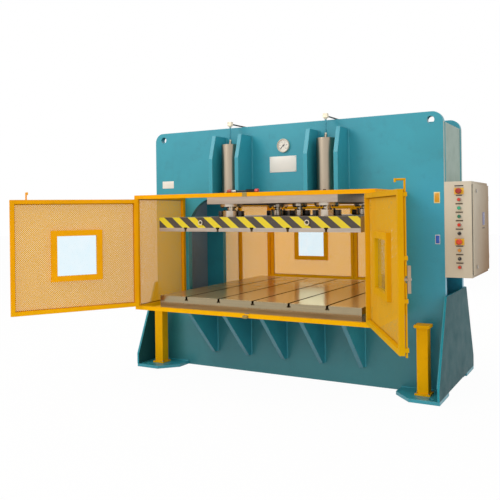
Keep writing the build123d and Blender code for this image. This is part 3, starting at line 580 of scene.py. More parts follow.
def striped_steel(name, group, sizes, colours):
    """Milled slide plate with hazard stripes painted across its front face."""
    material = bare_metal(name, group, colours.steel, (3.0, 90.0, 90.0), roughness=0.36,
                          metallic=0.85)
    shader, tree = metal_of(material)
    bare_colour = source_of(shader, "Base Color")
    bare_rough = source_of(shader, "Roughness")
    face_y, lean, start, dark_share = -0.8543, 1.23, 1.5455, 0.52
    x, y, z = tree.parts(tree.place())
    front = tree.math("LESS_THAN", y, face_y)
    above = tree.math("GREATER_THAN", z, sizes.stripe_low)
    on_band = tree.math("MULTIPLY", front, above)
    along = tree.math("ADD", x, tree.math("MULTIPLY", z, lean))
    steps = tree.math("DIVIDE", tree.math("SUBTRACT", along, start), sizes.stripe_pitch)
    dark = tree.math("LESS_THAN", tree.math("FRACT", steps), dark_share)
    scuff = tree.noise(tree.place(), 38.0, 5.0, 0.7)
    stripes = tree.blend(dark, colours.stripe_yellow, colours.stripe_dark)
    stripes = tree.blend(tree.stretch(scuff, 0.6, 0.85, 0.0, 0.45), stripes, bare_colour)
    tree.join(tree.blend(on_band, bare_colour, stripes), shader.inputs["Base Color"])
    tree.join(tree.math("MAXIMUM", bare_rough, tree.math("MULTIPLY", on_band, 0.45)),
              shader.inputs["Roughness"])
    tree.join(tree.math("SUBTRACT", 0.85, tree.math("MULTIPLY", on_band, 0.85), True),
              shader.inputs["Metallic"])
    return material


def plastic(name, group, base, roughness=0.3, coat=0.3, drift=0.3):
    return painted(name, group, base, grime_amount=0.1, edge_amount=0.12, edge_width=0.0008,
                   roughness=roughness, coat=coat, drift=drift, bump=0.05)


def clear_pane(name, dark=(0.78, 0.93, 1.0), pale=(0.84, 0.95, 1.0), bending=1.45):
    material, tree, shader = start_material(name)
    shader.inputs["Transmission Weight"].default_value = 1.0
    shader.inputs["IOR"].default_value = bending
    smear = tree.noise(tree.place(), 14.0, 4.0)
    tree.join(tree.stretch(smear, 0.3, 0.8, 0.02, 0.10), shader.inputs["Roughness"])
    tint = tree.blend(tree.stretch(smear, 0.3, 0.7), dark, pale)
    tree.join(tint, shader.inputs["Base Color"])
    return material


FINISH = {}


def make_finishes(sizes, colours):
    """Builds every material once and keeps it by name."""
    coat = paint_coat_group()
    grain = metal_grain_group()
    # Pale teal of the edges, partly wear and partly painted highlight.
    teal_edge = linear(150, 215, 222)
    FINISH.update({
        "teal": painted("Teal paint", coat, colours.frame_paint, linear(40, 70, 80), teal_edge,
                        drift=0.55, grime_amount=0.35, edge_amount=0.55, edge_width=0.004),
        "plate_teal": plate_paint("Plate paint", coat, sizes, colours, teal_edge),
        "side_teal": side_shade_paint("Side plate paint", coat, colours, teal_edge),
        # The side webs are teal whose pale colour is a painted glancing reflection.
        "web": painted("Web sheen paint", coat, colours.web_sheen_paint, linear(70, 90, 90), teal_edge,
                       drift=0.4, grime_amount=0.3, roughness=0.36, coat=0.0, specular=0.2),
        "primer": painted("Grey primer", coat, linear(140, 156, 170), linear(60, 60, 58),
                          linear(200, 200, 196), drift=0.4, grime_amount=0.3, edge_amount=0.2,
                          coat=0.0, specular=0.1),
        "weld": painted("Painted weld", coat, colours.frame_paint, linear(40, 70, 80), teal_edge,
                        drift=0.6, grime_amount=0.4, edge_amount=0.0, bump=0.5),
        "yellow": guard_yellow("Guard paint", coat, colours),
        "sheet": sheet_yellow("Perforated sheet paint", coat, colours),
        "cabinet": cabinet_beige("Cabinet paint", coat, colours),
        "bolster": bolster_steel("Bolster steel", grain),
        "bed": bare_metal("Bed steel", grain, linear(158, 130, 88), (3.0, 90.0, 70.0),
                          roughness=0.34, metallic=0.75),
        "plate": bare_metal("Plate steel", grain, colours.steel, (3.0, 90.0, 70.0),
                            roughness=0.38, metallic=0.75),
        "barrel": round_steel("Barrel steel", grain, linear(186, 172, 152), 0.32, 0.9),
        "turned": round_steel("Turned steel", grain, linear(214, 202, 186), 0.20, 1.0),
        "chrome": round_steel("Rod chrome", grain, linear(214, 202, 184), 0.24, 0.35),
        "bolt": bare_metal("Dark bolt steel", grain, linear(70, 66, 62), (60.0, 60.0, 60.0),
                           roughness=0.38, marks=0.5, edge_width=0.0008),
        "zinc": bare_metal("Zinc steel", grain, linear(178, 174, 166), (40.0, 40.0, 40.0),
                           roughness=0.32, marks=0.4, edge_width=0.0008),
        "gauge": bare_metal("Gauge rim steel", grain, linear(224, 212, 192), (40.0, 40.0, 40.0),
                            roughness=0.4, marks=0.3, metallic=0.5, edge_width=0.001),
        "fitting": bare_metal("Pipe fitting steel", grain, linear(214, 204, 182),
                              (50.0, 50.0, 50.0), roughness=0.3, marks=0.4, edge_width=0.001),
        "pipe": pipe_steel("Pipe steel", grain),
        "lever": bare_metal("Lever steel", grain, linear(172, 152, 128), (40.0, 40.0, 40.0),
                            roughness=0.4, marks=0.3, metallic=0.6, edge_width=0.0008),
        "pane": clear_pane("Window pane"),
        "glass": clear_pane("Gauge glass", (0.98, 0.98, 0.97), (1.0, 1.0, 1.0), 1.12),
        "dial": plastic("Gauge dial", coat, linear(236, 230, 218), roughness=0.5, coat=0.0,
                        drift=0.1),
        "red": plastic("Red plastic", coat, linear(214, 56, 40)),
        "dark_red": plastic("Dark red plastic", coat, linear(168, 38, 22)),
        "stop_red": plastic("Stop red plastic", coat, linear(226, 70, 28)),
        "green": plastic("Green plastic", coat, linear(34, 178, 142)),
        "dark_green": plastic("Dark green plastic", coat, linear(26, 124, 98)),
        "amber": plastic("Amber plastic", coat, linear(222, 150, 52)),
        "black": plastic("Black plastic", coat, linear(34, 33, 33), roughness=0.42),
        "rubber": plastic("Seal rubber", coat, linear(46, 44, 42), roughness=0.6, coat=0.0),
        "legend": legend_plate("Control plates", coat, sizes),
        "white": plastic("White enamel", coat, linear(238, 232, 222), roughness=0.35, drift=0.2),
        "label_blue": plastic("Blue label", coat, linear(34, 98, 204), roughness=0.4),
        "label_violet": plastic("Violet label", coat, linear(88, 86, 132), roughness=0.5),
        "grime_bar": plastic("Legend black", coat, linear(52, 46, 42), roughness=0.6, coat=0.0),
        "label_pale": plastic("Pale label", coat, linear(244, 222, 150), roughness=0.4),
        "label_amber": plastic("Amber label", coat, linear(222, 158, 30), roughness=0.4),
        "hazard": striped_steel("Striped slide steel", grain, sizes, colours),
    })


NODE_FINISH = {
    "plate_teal": ["front_plate", "rear_plate"],
    "side_teal": ["side_plates"],
    "primer": ["column_webs"],
    "teal": ["crown_webs", "foot_plates", "bed_webs", "bed_gussets", "cylinder_ribs"],
    "web": ["side_webs"],
    "yellow": ["support_posts", "front_guard_frame", "rear_guard_frame",
               "front_left_door_frame", "front_right_door_frame", "rear_left_door_frame",
               "rear_right_door_frame", "front_left_door_hook", "right_hook_upper",
               "right_foot_bolt"],
    "sheet": ["front_guard_mesh", "rear_guard_mesh", "front_left_door_mesh",
              "front_right_door_mesh", "rear_left_door_mesh", "rear_right_door_mesh"],
    "bed": ["bed_plate"],
    "plate": ["cylinder_plate"],
    "bolster": ["bolster_plate"],
    "hazard": ["slide_platen"],
    "barrel": ["cylinder_barrels"],
    "turned": ["gland_flanges", "rod_flanges"],
    "chrome": ["slide_rods"],
    "pipe": ["oil_pipes"],
    "fitting": ["pipe_elbows"],
    "gauge": ["pressure_gauge"],
    "zinc": ["cabinet_panel", "control_bezels", "door_lock_upper", "door_lock_lower"],
    "lever": ["right_lever"],
    "cabinet": ["cabinet_box", "cabinet_door"],
    "pane": ["front_left_door_pane", "front_right_door_pane", "rear_left_door_pane",
             "rear_right_door_pane"],
    "dark_red": ["stop_upper"],
    "stop_red": ["stop_lower"],
    "red": ["button_one", "button_four", "button_six"],
    "green": ["button_two"],
    "dark_green": ["button_three"],
    "amber": ["button_five"],
    "black": ["gauge_needle", "selector_upper", "selector_lower"],
    "legend": ["control_plates"],
}


# Mesh helpers

def to_object(name, bm, finish, body, smooth=30.0):
    """Turns a bmesh into a piece of the scene that rides on a body."""
    bmesh.ops.remove_doubles(bm, verts=bm.verts, dist=1e-6)
    mesh = bpy.data.meshes.new(name)
    bm.to_mesh(mesh)
    bm.free()
    piece = bpy.data.objects.new(name, mesh)
    bpy.context.scene.collection.objects.link(piece)
    mesh.materials.append(FINISH[finish])
    if smooth:
        mesh.shade_smooth()
        mesh.set_sharp_from_angle(angle=math.radians(smooth))
    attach(piece, body)
    return piece


def along(axis, centre):
    """A matrix that puts local Z along an axis at a centre."""
    return Matrix.Translation(centre) @ Vector(axis).to_track_quat("Z", "Y").to_matrix().to_4x4()


def add_disc(bm, centre, axis, radius, height, segments=24, top_radius=None, bevel=0.0):
    """A closed cylinder or cone whose base sits at the centre."""
    top = radius if top_radius is None else top_radius
    matrix = along(axis, centre) @ Matrix.Translation((0, 0, height / 2))
    made = bmesh.ops.create_cone(bm, cap_ends=True, segments=segments, radius1=radius,
                                 radius2=top, depth=height, matrix=matrix)
    if bevel:
        soften(bm, made["verts"], bevel)
    return made["verts"]


def soften(bm, verts, width, segments=2):
    chosen = set(verts)
    edges = [edge for edge in bm.edges if edge.verts[0] in chosen and edge.verts[1] in chosen
             and edge.calc_face_angle(0.0) > 0.6]
    bmesh.ops.bevel(bm, geom=edges, offset=width, offset_type="OFFSET", segments=segments,
                    profile=0.5, affect="EDGES", material=-1)


def add_block(bm, low, high, bevel=0.0):
    """A box between two corners, with softened edges where a bevel is given."""
    low, high = Vector(low), Vector(high)
    size = high - low
    matrix = Matrix.Translation((low + high) / 2) @ Matrix.Diagonal((*size, 1.0))
    made = bmesh.ops.create_cube(bm, size=1.0, matrix=matrix)
    if bevel:
        soften(bm, made["verts"], bevel)
    return made["verts"]


def add_bead(bm, start, end, radius, segments=8):
    """A round weld bead between two points."""
    start, end = Vector(start), Vector(end)
    run = end - start
    add_disc(bm, start, run, radius, run.length, segments=segments)


def add_hex_bolt(bm, centre, axis, size, washer=True):
    """A hex head on a washer; size is the distance over its flats."""
    base = Vector(centre)
    axis = Vector(axis).normalized()
    if washer:
        add_disc(bm, base, axis, size * 0.68, size * 0.10, segments=20)
        base = base + axis * size * 0.10
    add_disc(bm, base, axis, size * 0.577, size * 0.42, segments=6, bevel=size * 0.04)


def add_socket_bolt(bm, centre, axis, head_d):
    """A cylinder head with a sunk middle."""
    verts = add_disc(bm, centre, axis, head_d / 2, head_d * 0.6, segments=20)
    chosen = set(verts)
    axis = Vector(axis).normalized()
    tops = [face for face in bm.faces if all(vert in chosen for vert in face.verts)
            and face.normal.dot(axis) > 0.9]
    bmesh.ops.inset_region(bm, faces=tops, thickness=head_d * 0.22, depth=0.0)
    for face in tops:
        bmesh.ops.translate(bm, verts=face.verts, vec=-axis * head_d * 0.3)


def add_ring(bm, centre, axis, radius, thickness, segments=48, tube_segments=10):
    """A round wire ring made by turning a small circle."""
    centre, axis = Vector(centre), Vector(axis).normalized()
    side = axis.orthogonal().normalized()
    tangent = axis.cross(side)
    start = Matrix.Translation(centre + side * radius) @ tangent.to_track_quat(
        "Z", "Y").to_matrix().to_4x4()
    made = bmesh.ops.create_circle(bm, segments=tube_segments, radius=thickness / 2, matrix=start)
    edges = list({edge for vert in made["verts"] for edge in vert.link_edges})
    bmesh.ops.spin(bm, geom=made["verts"] + edges, cent=centre, axis=axis,
                   angle=math.tau, steps=segments, use_merge=True, use_duplicate=False)


def recalc(bm):
    bmesh.ops.recalc_face_normals(bm, faces=bm.faces)


def door_turn(side):
    """Matrix from a closed front door to the open place it has at rest; side is -1 or 1."""
    joint = JOINTS["front_left_hinge" if side < 0 else "front_right_hinge"]
    hinge = Vector((joint["pos_m"][0], joint["pos_m"][1], 0.0))
    angle = math.radians(joint["range_deg"][1]) * joint["axis"][2]
    return (Matrix.Translation(hinge) @ Matrix.Rotation(-angle, 4, "Z")
            @ Matrix.Translation(-hinge))


# Guard sheets

def perforated(width, height, pitch, hole):
    """A flat sheet of diamond cells in the XZ plane, from the origin to width and height."""
    outer = pitch / math.sqrt(2.0)
    inner = hole / math.sqrt(2.0)
    bm = bmesh.new()
    turn = Matrix.Rotation(math.radians(90), 4, "X")
    for place in ((0.0, 0.0), (outer, outer)):
        at = Matrix.Translation((place[0], 0.0, place[1])) @ turn
        rims = [bmesh.ops.create_circle(bm, segments=4, radius=radius, matrix=at)["verts"]
                for radius in (outer, inner)]
        edges = list({edge for rim in rims for vert in rim for edge in vert.link_edges})
        bmesh.ops.bridge_loops(bm, edges=edges)
    cell = bpy.data.meshes.new("sheet_cell")
    bm.to_mesh(cell)
    bm.free()
    maker = bpy.data.objects.new("sheet_maker", cell)
    bpy.context.scene.collection.objects.link(maker)
    step = 2.0 * outer
    for label, axis, extent in (("columns", 0, width), ("rows", 2, height)):
        repeat = maker.modifiers.new(label, "ARRAY")
        repeat.use_relative_offset = False
        repeat.use_constant_offset = True
        offset = [0.0, 0.0, 0.0]
        offset[axis] = step
        repeat.constant_offset_displace = offset
        repeat.count = int(math.ceil(extent / step)) + 1
        repeat.use_merge_vertices = True
        repeat.merge_threshold = pitch * 0.01
    bpy.context.view_layer.update()
    finished = bpy.data.meshes.new_from_object(
        maker.evaluated_get(bpy.context.evaluated_depsgraph_get()))
    bpy.data.objects.remove(maker)
    bpy.data.meshes.remove(cell)
    sheet = bmesh.new()
    sheet.from_mesh(finished)
    bpy.data.meshes.remove(finished)
    for point, normal in (((0, 0, 0), (-1, 0, 0)), ((width, 0, 0), (1, 0, 0)),
                          ((0, 0, 0), (0, 0, -1)), ((0, 0, height), (0, 0, 1))):
        cut_plane(sheet, point, normal, True)
    return sheet


def cut_plane(bm, point, normal, clear):
    geometry = list(bm.verts) + list(bm.edges) + list(bm.faces)
    bmesh.ops.bisect_plane(bm, geom=geometry, dist=1e-6, plane_co=point, plane_no=normal,
                           clear_outer=clear)


def cut_window(bm, centre_x, centre_z, side):
    """Cuts the square window opening out of a sheet in the XZ plane."""
    half = side / 2
    for sign in (-1, 1):
        cut_plane(bm, (centre_x + sign * half, 0, 0), (sign, 0, 0), False)
        cut_plane(bm, (0, 0, centre_z + sign * half), (0, 0, sign), False)
    inside = [face for face in bm.faces
              if abs(face.calc_center_median().x - centre_x) < half
              and abs(face.calc_center_median().z - centre_z) < half]
    bmesh.ops.delete(bm, geom=inside, context="FACES")


def sheet_border(bm, width, height, strip):
    """A plain unpunched strip along each edge of a sheet."""
    for low, high in (((0, 0), (width, strip)), ((0, height - strip), (width, height)),
                      ((0, 0), (strip, height)), ((width - strip, 0), (width, height))):
        bmesh.ops.create_grid(bm, x_segments=1, y_segments=1, size=0.5,
                              matrix=Matrix.Translation(((low[0] + high[0]) / 2, 0,
                                                         (low[1] + high[1]) / 2))
                              @ Matrix.Rotation(math.radians(90), 4, "X")
                              @ Matrix.Diagonal((high[0] - low[0], high[1] - low[1], 1, 1)))


def punched_sheet(sizes, width, height):
    """A perforated sheet with its plain border, in the XZ plane."""
    sheet = perforated(width, height, sizes.hole_pitch, sizes.hole_side)
    sheet_border(sheet, width, height, 0.006)
    return sheet


def finish_sheet(bm, name, body, node):
    piece = to_object(name, bm, "sheet", body, smooth=0)
    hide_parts(node)


# Places that repeat

def unit_places(outer, middle):
    """Centres of the five cylinder units, with a measure for the outer and the middle ones."""
    reach = (-UNIT_REACH, UNIT_REACH)
    return [(x, y, outer) for x in reach for y in reach] + [(0.0, 0.0, middle)]


def round_places(x, y, radius, count, start):
    """Evenly spaced places on a circle about a centre."""
    angles = [start + math.tau * number / count for number in range(count)]
    return [(x + radius * math.cos(angle), y + radius * math.sin(angle)) for angle in angles]


# Steps


class PRESS_OT_stage(Operator):
    """White floor, soft studio light and the camera of the photograph"""

    bl_idname = "press.stage"
    bl_label = "Stage"

    def execute(self, context):
        scene = context.scene
        scene.view_settings.view_transform = "Standard"
        self.floor()
        self.world(scene)
        self.lamps()
        self.camera(scene)
        return {"FINISHED"}

    def floor(self):
        bm = bmesh.new()
        bmesh.ops.create_grid(bm, x_segments=1, y_segments=1, size=30.0)
        mesh = bpy.data.meshes.new("studio_floor")
        bm.to_mesh(mesh)
        bm.free()
        floor = bpy.data.objects.new("studio_floor", mesh)
        bpy.context.scene.collection.objects.link(floor)
        material = bpy.data.materials.new("Studio floor")
        material.use_nodes = True
        tree = Tree(material.node_tree)
        material.node_tree.nodes.clear()
        diffuse = tree.add("ShaderNodeBsdfDiffuse")
        diffuse.inputs["Color"].default_value = (0.80, 0.79, 0.77, 1.0)
        glow = tree.add("ShaderNodeEmission")
        mix = tree.add("ShaderNodeMixShader")
        tree.join(tree.math("MULTIPLY", tree.seen(), 0.97), mix.inputs[0])
        tree.join(diffuse.outputs[0], mix.inputs[1])
        tree.join(glow.outputs[0], mix.inputs[2])
        output = tree.add("ShaderNodeOutputMaterial")
        tree.join(mix.outputs[0], output.inputs["Surface"])
        mesh.materials.append(material)

    def world(self, scene):
        world = bpy.data.worlds.new("Studio")
        scene.world = world
        world.use_nodes = True
        tree = Tree(world.node_tree)
        world.node_tree.nodes.clear()
        lighting = 0.66
        extra = tree.math("MULTIPLY", tree.seen(), 1.0 - lighting)
        back = tree.add("ShaderNodeBackground")
        back.inputs["Color"].default_value = (1.0, 1.0, 1.0, 1.0)
        tree.join(tree.math("ADD", lighting, extra), back.inputs["Strength"])
        output = tree.add("ShaderNodeOutputWorld")
        tree.join(back.outputs[0], output.inputs["Surface"])

    def lamps(self):
        for name, place, target, width, power, tint in (
                ("key_panel", (-2.6, -4.6, 4.6), (0.0, 0.0, 1.0), 3.0, 112.0, (1, 0.98, 0.95)),
                ("front_panel", (1.6, -5.6, 1.9), (0.0, 0.6, 1.0), 2.4, 34.0, (1, 0.98, 0.95)),
                ("right_panel", (5.4, -2.2, 2.6), (0.6, 0.0, 0.9), 2.6, 14.0, (1, 0.97, 0.92)),
                ("top_panel", (0.2, 0.6, 5.4), (0.0, 0.0, 0.8), 3.4, 95.0, (1, 1, 1)),
                ("rear_panel", (-1.5, 5.0, 3.2), (0.0, 0.6, 1.0), 3.0, 110.0, (1, 0.98, 0.95))):
            lamp = bpy.data.lights.new(name, "AREA")
            lamp.shape = "SQUARE"
            lamp.size = width
            lamp.energy = power
            lamp.color = tint
            holder = bpy.data.objects.new(name, lamp)
            bpy.context.scene.collection.objects.link(holder)
            holder.visible_glossy = name == "key_panel"
            aim = Vector(target) - Vector(place)
            holder.matrix_world = (Matrix.Translation(place)
                                   @ aim.to_track_quat("-Z", "Y").to_matrix().to_4x4())

    def camera(self, scene):
        yaw, pitch, roll = 0.5112, 0.0025, 0.0132
        focal_px, centre_u, centre_v = 655.73, 251.87, 208.86
        stand = (2.3995, -5.1232, 1.3541)
        ahead = Vector((-math.sin(yaw) * math.cos(pitch), math.cos(yaw) * math.cos(pitch),
                        math.sin(pitch)))
        right = Vector((math.cos(yaw), math.sin(yaw), 0.0))
        down = ahead.cross(right)
        side = right * math.cos(roll) + down * math.sin(roll)
        below = -right * math.sin(roll) + down * math.cos(roll)
        data = bpy.data.cameras.new("photo_camera")
        data.sensor_fit = "HORIZONTAL"
        data.sensor_width = SENSOR_MM
        data.lens = SENSOR_MM * focal_px / IMAGE_WIDTH
        data.shift_x = (IMAGE_WIDTH / 2 - centre_u) / IMAGE_WIDTH
        data.shift_y = (centre_v - IMAGE_WIDTH / 2) / IMAGE_WIDTH
        camera = bpy.data.objects.new("photo_camera", data)
        scene.collection.objects.link(camera)
        basis = Matrix((side, -below, -ahead)).transposed().to_4x4()
        camera.matrix_world = Matrix.Translation(stand) @ basis
        scene.camera = camera


class PRESS_OT_finishes(Operator):
    """Procedural finishes on every node of the frame"""

    bl_idname = "press.finishes"
    bl_label = "Finishes"

    def execute(self, context):
        make_finishes(context.scene.press_sizes, context.scene.press_colours)
        for finish, nodes in NODE_FINISH.items():
            for node in nodes:
                mesh = frame["nodes"][node].data
                mesh.materials.clear()
                mesh.materials.append(FINISH[finish])
        return {"FINISHED"}


class PRESS_OT_guard_sheets(Operator):
    """Perforated sheets of the guards and of the four doors"""

    bl_idname = "press.guard_sheets"
    bl_label = "Guard sheets"

    def execute(self, context):
        sizes = context.scene.press_sizes
        for place in GUARDS:
            self.side_sheets(sizes, place)
            self.door_sheets(sizes, place)
        return {"FINISHED"}

    def side_sheets(self, sizes, place):
        """The fixed sheets at both sides; a post parts each of the rear ones."""
        node = place + "_guard_mesh"
        low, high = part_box(node)
        spans = [(low.y, high.y)]
        if place == "rear":
            post_front = 0.657
            spans = [(low.y, post_front), (post_front + sizes.tube, high.y)]
        inset = 0.0008
        for side, x, name in ((-1, low.x, "left"), (1, high.x, "right")):
            whole = bmesh.new()
            for start, end in spans:
                sheet = punched_sheet(sizes, end - start, high.z - low.z)
                matrix = (Matrix.Translation((x - side * inset, start, low.z))
                          @ Matrix.Rotation(math.radians(90), 4, "Z"))
                bmesh.ops.transform(sheet, matrix=matrix, verts=sheet.verts)
                part = bpy.data.meshes.new("sheet_part")
                sheet.to_mesh(part)
                sheet.free()
                whole.from_mesh(part)
                bpy.data.meshes.remove(part)
            finish_sheet(whole, "%s_guard_sheet_%s" % (place, name), "frame", node)

    def door_sheets(self, sizes, place):
        """One sheet in each door, with the opening of its window."""
        face, rail_low, rail_high, outward = GUARDS[place]
        gap, depth = 0.003, 0.0038
        x0, x1 = -DOOR_OUTER + sizes.tube, -DOOR_INNER - sizes.tube
        z0 = rail_low + 2 * sizes.tube + gap
        z1 = rail_high - 2 * sizes.tube - gap
        window_x = -(DOOR_OUTER + DOOR_INNER) / 2 - x0
        window_z = (rail_low + rail_high) / 2 - z0
        for side, name in ((-1, "left"), (1, "right")):
            sheet = punched_sheet(sizes, x1 - x0, z1 - z0)
            cut_window(sheet, window_x, window_z, sizes.window_open)
            matrix = Matrix.Translation((x0, face - outward * depth, z0))
            if side > 0:
                matrix = Matrix.Scale(-1, 4, (1, 0, 0)) @ matrix
            if place == "front":
                matrix = door_turn(side) @ matrix
            bmesh.ops.transform(sheet, matrix=matrix, verts=sheet.verts)
            door = "%s_%s_door" % (place, name)
            finish_sheet(sheet, door + "_sheet", door, door + "_mesh")


class PRESS_OT_welds(Operator):
    """Weld beads where the plates of the frame meet"""

    bl_idname = "press.welds"
    bl_label = "Weld beads"

    def execute(self, context):
        leg = context.scene.press_sizes.weld_leg
        bm = bmesh.new()
        for sign in (-1, 1):
            self.rib_beads(bm, sign, leg)
            self.gusset_beads(bm, sign, leg)
            self.foot_beads(bm, sign, leg)
        for side in (-1, 1):
            for sign in (-1, 1):
                self.side_beads(bm, side, sign, leg)
        recalc(bm)
        to_object("frame_welds", bm, "weld", "frame", smooth=50.0)
        return {"FINISHED"}

    def rib_beads(self, bm, sign, leg):
        """Up the plate and out over the cylinder plate, at both sides of each rib."""
        face, shelf_end = sign * PLATE_FACE, sign * 0.548
        low, high, shelf = 1.476, 1.981, 1.4745
        for rib_x in (-0.5545, -0.3055, 0.3055, 0.5545):
            for offset in (-0.0165, 0.0165):
                x = rib_x + offset
                add_bead(bm, (x, face, low), (x, face, high), leg)
                add_bead(bm, (x, face, shelf), (x, shelf_end, shelf), leg * 0.8)

    def gusset_beads(self, bm, sign, leg):
        """Both sides of the five gussets under the table."""
        face, low, high, pitch = sign * PLATE_FACE, 0.143, 0.558, 0.3335
        for number in range(5):
            for offset in (-0.017, 0.017):
                x = (number - 2) * pitch + offset
                add_bead(bm, (x, face, low), (x, face, high), leg)

    def foot_beads(self, bm, sign, leg):
        """Where the plate stands on its two feet."""
        face, height, inner, outer = sign * PLATE_FACE, 0.0255, 0.961, 1.295
        for side in (-1, 1):
            add_bead(bm, (side * inner, face, height), (side * outer, face, height), leg)

    def side_beads(self, bm, side, sign, leg):
        """Down the side web, and along the sloped edge below it."""
        web_x, web_y, web_low, web_high = side * 1.293, sign * 0.265, 0.85, 1.98
        add_bead(bm, (web_x, web_y, web_low), (web_x, web_y, web_high), leg * 0.8)
        edge_x = side * 1.2955
        add_bead(bm, (edge_x, sign * 0.343, 0.717), (edge_x, sign * 0.597, 0.118), leg * 0.6)


class PRESS_OT_ram_screws(Operator):
    """Screws of the gland flanges and of the rod flanges"""

    bl_idname = "press.ram_screws"
    bl_label = "Ram screws"

    def execute(self, context):
        self.gland_screws(context.scene.press_sizes.flange_bolts)
        self.rod_screws()
        return {"FINISHED"}

    def gland_screws(self, count):
        """Socket heads under each gland, and hexagon heads on the collar of each barrel."""
        bm = bmesh.new()
        under, over, turn = 1.387, 1.499, 0.2
        for x, y, radius in unit_places(0.080, 0.052):
            for screw_x, screw_y in round_places(x, y, radius, count, turn):
                add_socket_bolt(bm, (screw_x, screw_y, under), (0, 0, -1), 0.018)
            for screw_x, screw_y in round_places(x, y, radius + 0.003, count, turn):
                add_hex_bolt(bm, (screw_x, screw_y, over), (0, 0, 1), 0.019)
        to_object("flange_screws", bm, "bolt", "frame")

    def rod_screws(self):
        bm = bmesh.new()
        count, height, turn = 6, 1.3545, 0.5
        for x, y, radius in unit_places(0.057, 0.037):
            for screw_x, screw_y in round_places(x, y, radius, count, turn):
                add_socket_bolt(bm, (screw_x, screw_y, height), (0, 0, 1), 0.016)
        to_object("rod_flange_screws", bm, "bolt", "slide")


class PRESS_OT_ram_trim(Operator):
    """Dark blocks of painted reflection beside the rod flanges, lift socket rims and oil bars of
    the ram
    """

    bl_idname = "press.ram_trim"
    bl_label = "Ram trim"

    def execute(self, context):
        self.dark_reflection_blocks()
        self.lift_sockets()
        self.oil_bars()
        return {"FINISHED"}

    def dark_reflection_blocks(self):
        """Dark blocks at both sides of each rod flange, standing in for the dark reflections on the
        flange sides.
        """
        bm = bmesh.new()
        width, half_depth, low, high = 0.032, 0.025, 1.3065, 1.352
        for x, y, reach in unit_places(0.079, 0.056):
            for side in (-1, 1):
                left, right = sorted((x + side * reach, x + side * (reach + width)))
                add_block(bm, (left, y - half_depth, low), (right, y + half_depth, high), 0.002)
        to_object("rod_flange_keepers", bm, "black", "slide")

    def lift_sockets(self):
        """Bright rims and dark bottoms of the two sockets on the front of the slide."""
        front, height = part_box("slide_platen")[0].y, 1.2635
        rims, bottoms = bmesh.new(), bmesh.new()
        for x in (-0.455, 0.455):
            add_ring(rims, (x, front, height), (0, 1, 0), 0.0165, 0.007, 32, 8)
            add_disc(bottoms, (x, front + 0.004, height), (0, -1, 0), 0.0098, 0.0006, 24)
        recalc(rims)
        to_object("lift_socket_rims", rims, "gauge", "slide")
        to_object("lift_socket_holes", bottoms, "black", "slide", smooth=0)

    def oil_bars(self):
        """Dark oil bars under the cylinder plate, from the front units to the rear ones."""
        bm = bmesh.new()
        reach, height = 0.335, 1.405
        for x in (-UNIT_REACH, UNIT_REACH):
            add_disc(bm, (x, -reach, height), (0, 1, 0), 0.006, 2 * reach, 12)
            add_disc(bm, (x, -reach, height), (0, 1, 0), 0.009, 0.080, 16, bevel=0.001)
        to_object("oil_bars", bm, "black", "frame")


class PRESS_OT_post_bolts(Operator):
    """Bolts in the pads of the four support posts"""

    bl_idname = "press.post_bolts"
    bl_label = "Post bolts"

    def execute(self, context):
        bm = bmesh.new()
        post_x, post_y, spread, pad_top = 1.164, 0.439, 0.045, 0.037
        for x in (-post_x, post_x):
            for y in (-post_y, post_y):
                for dx in (-spread, spread):
                    for dy in (-spread, spread):
                        add_hex_bolt(bm, (x + dx, y + dy, pad_top), (0, 0, 1), 0.013, False)
        to_object("post_bolts", bm, "zinc", "frame")
        return {"FINISHED"}


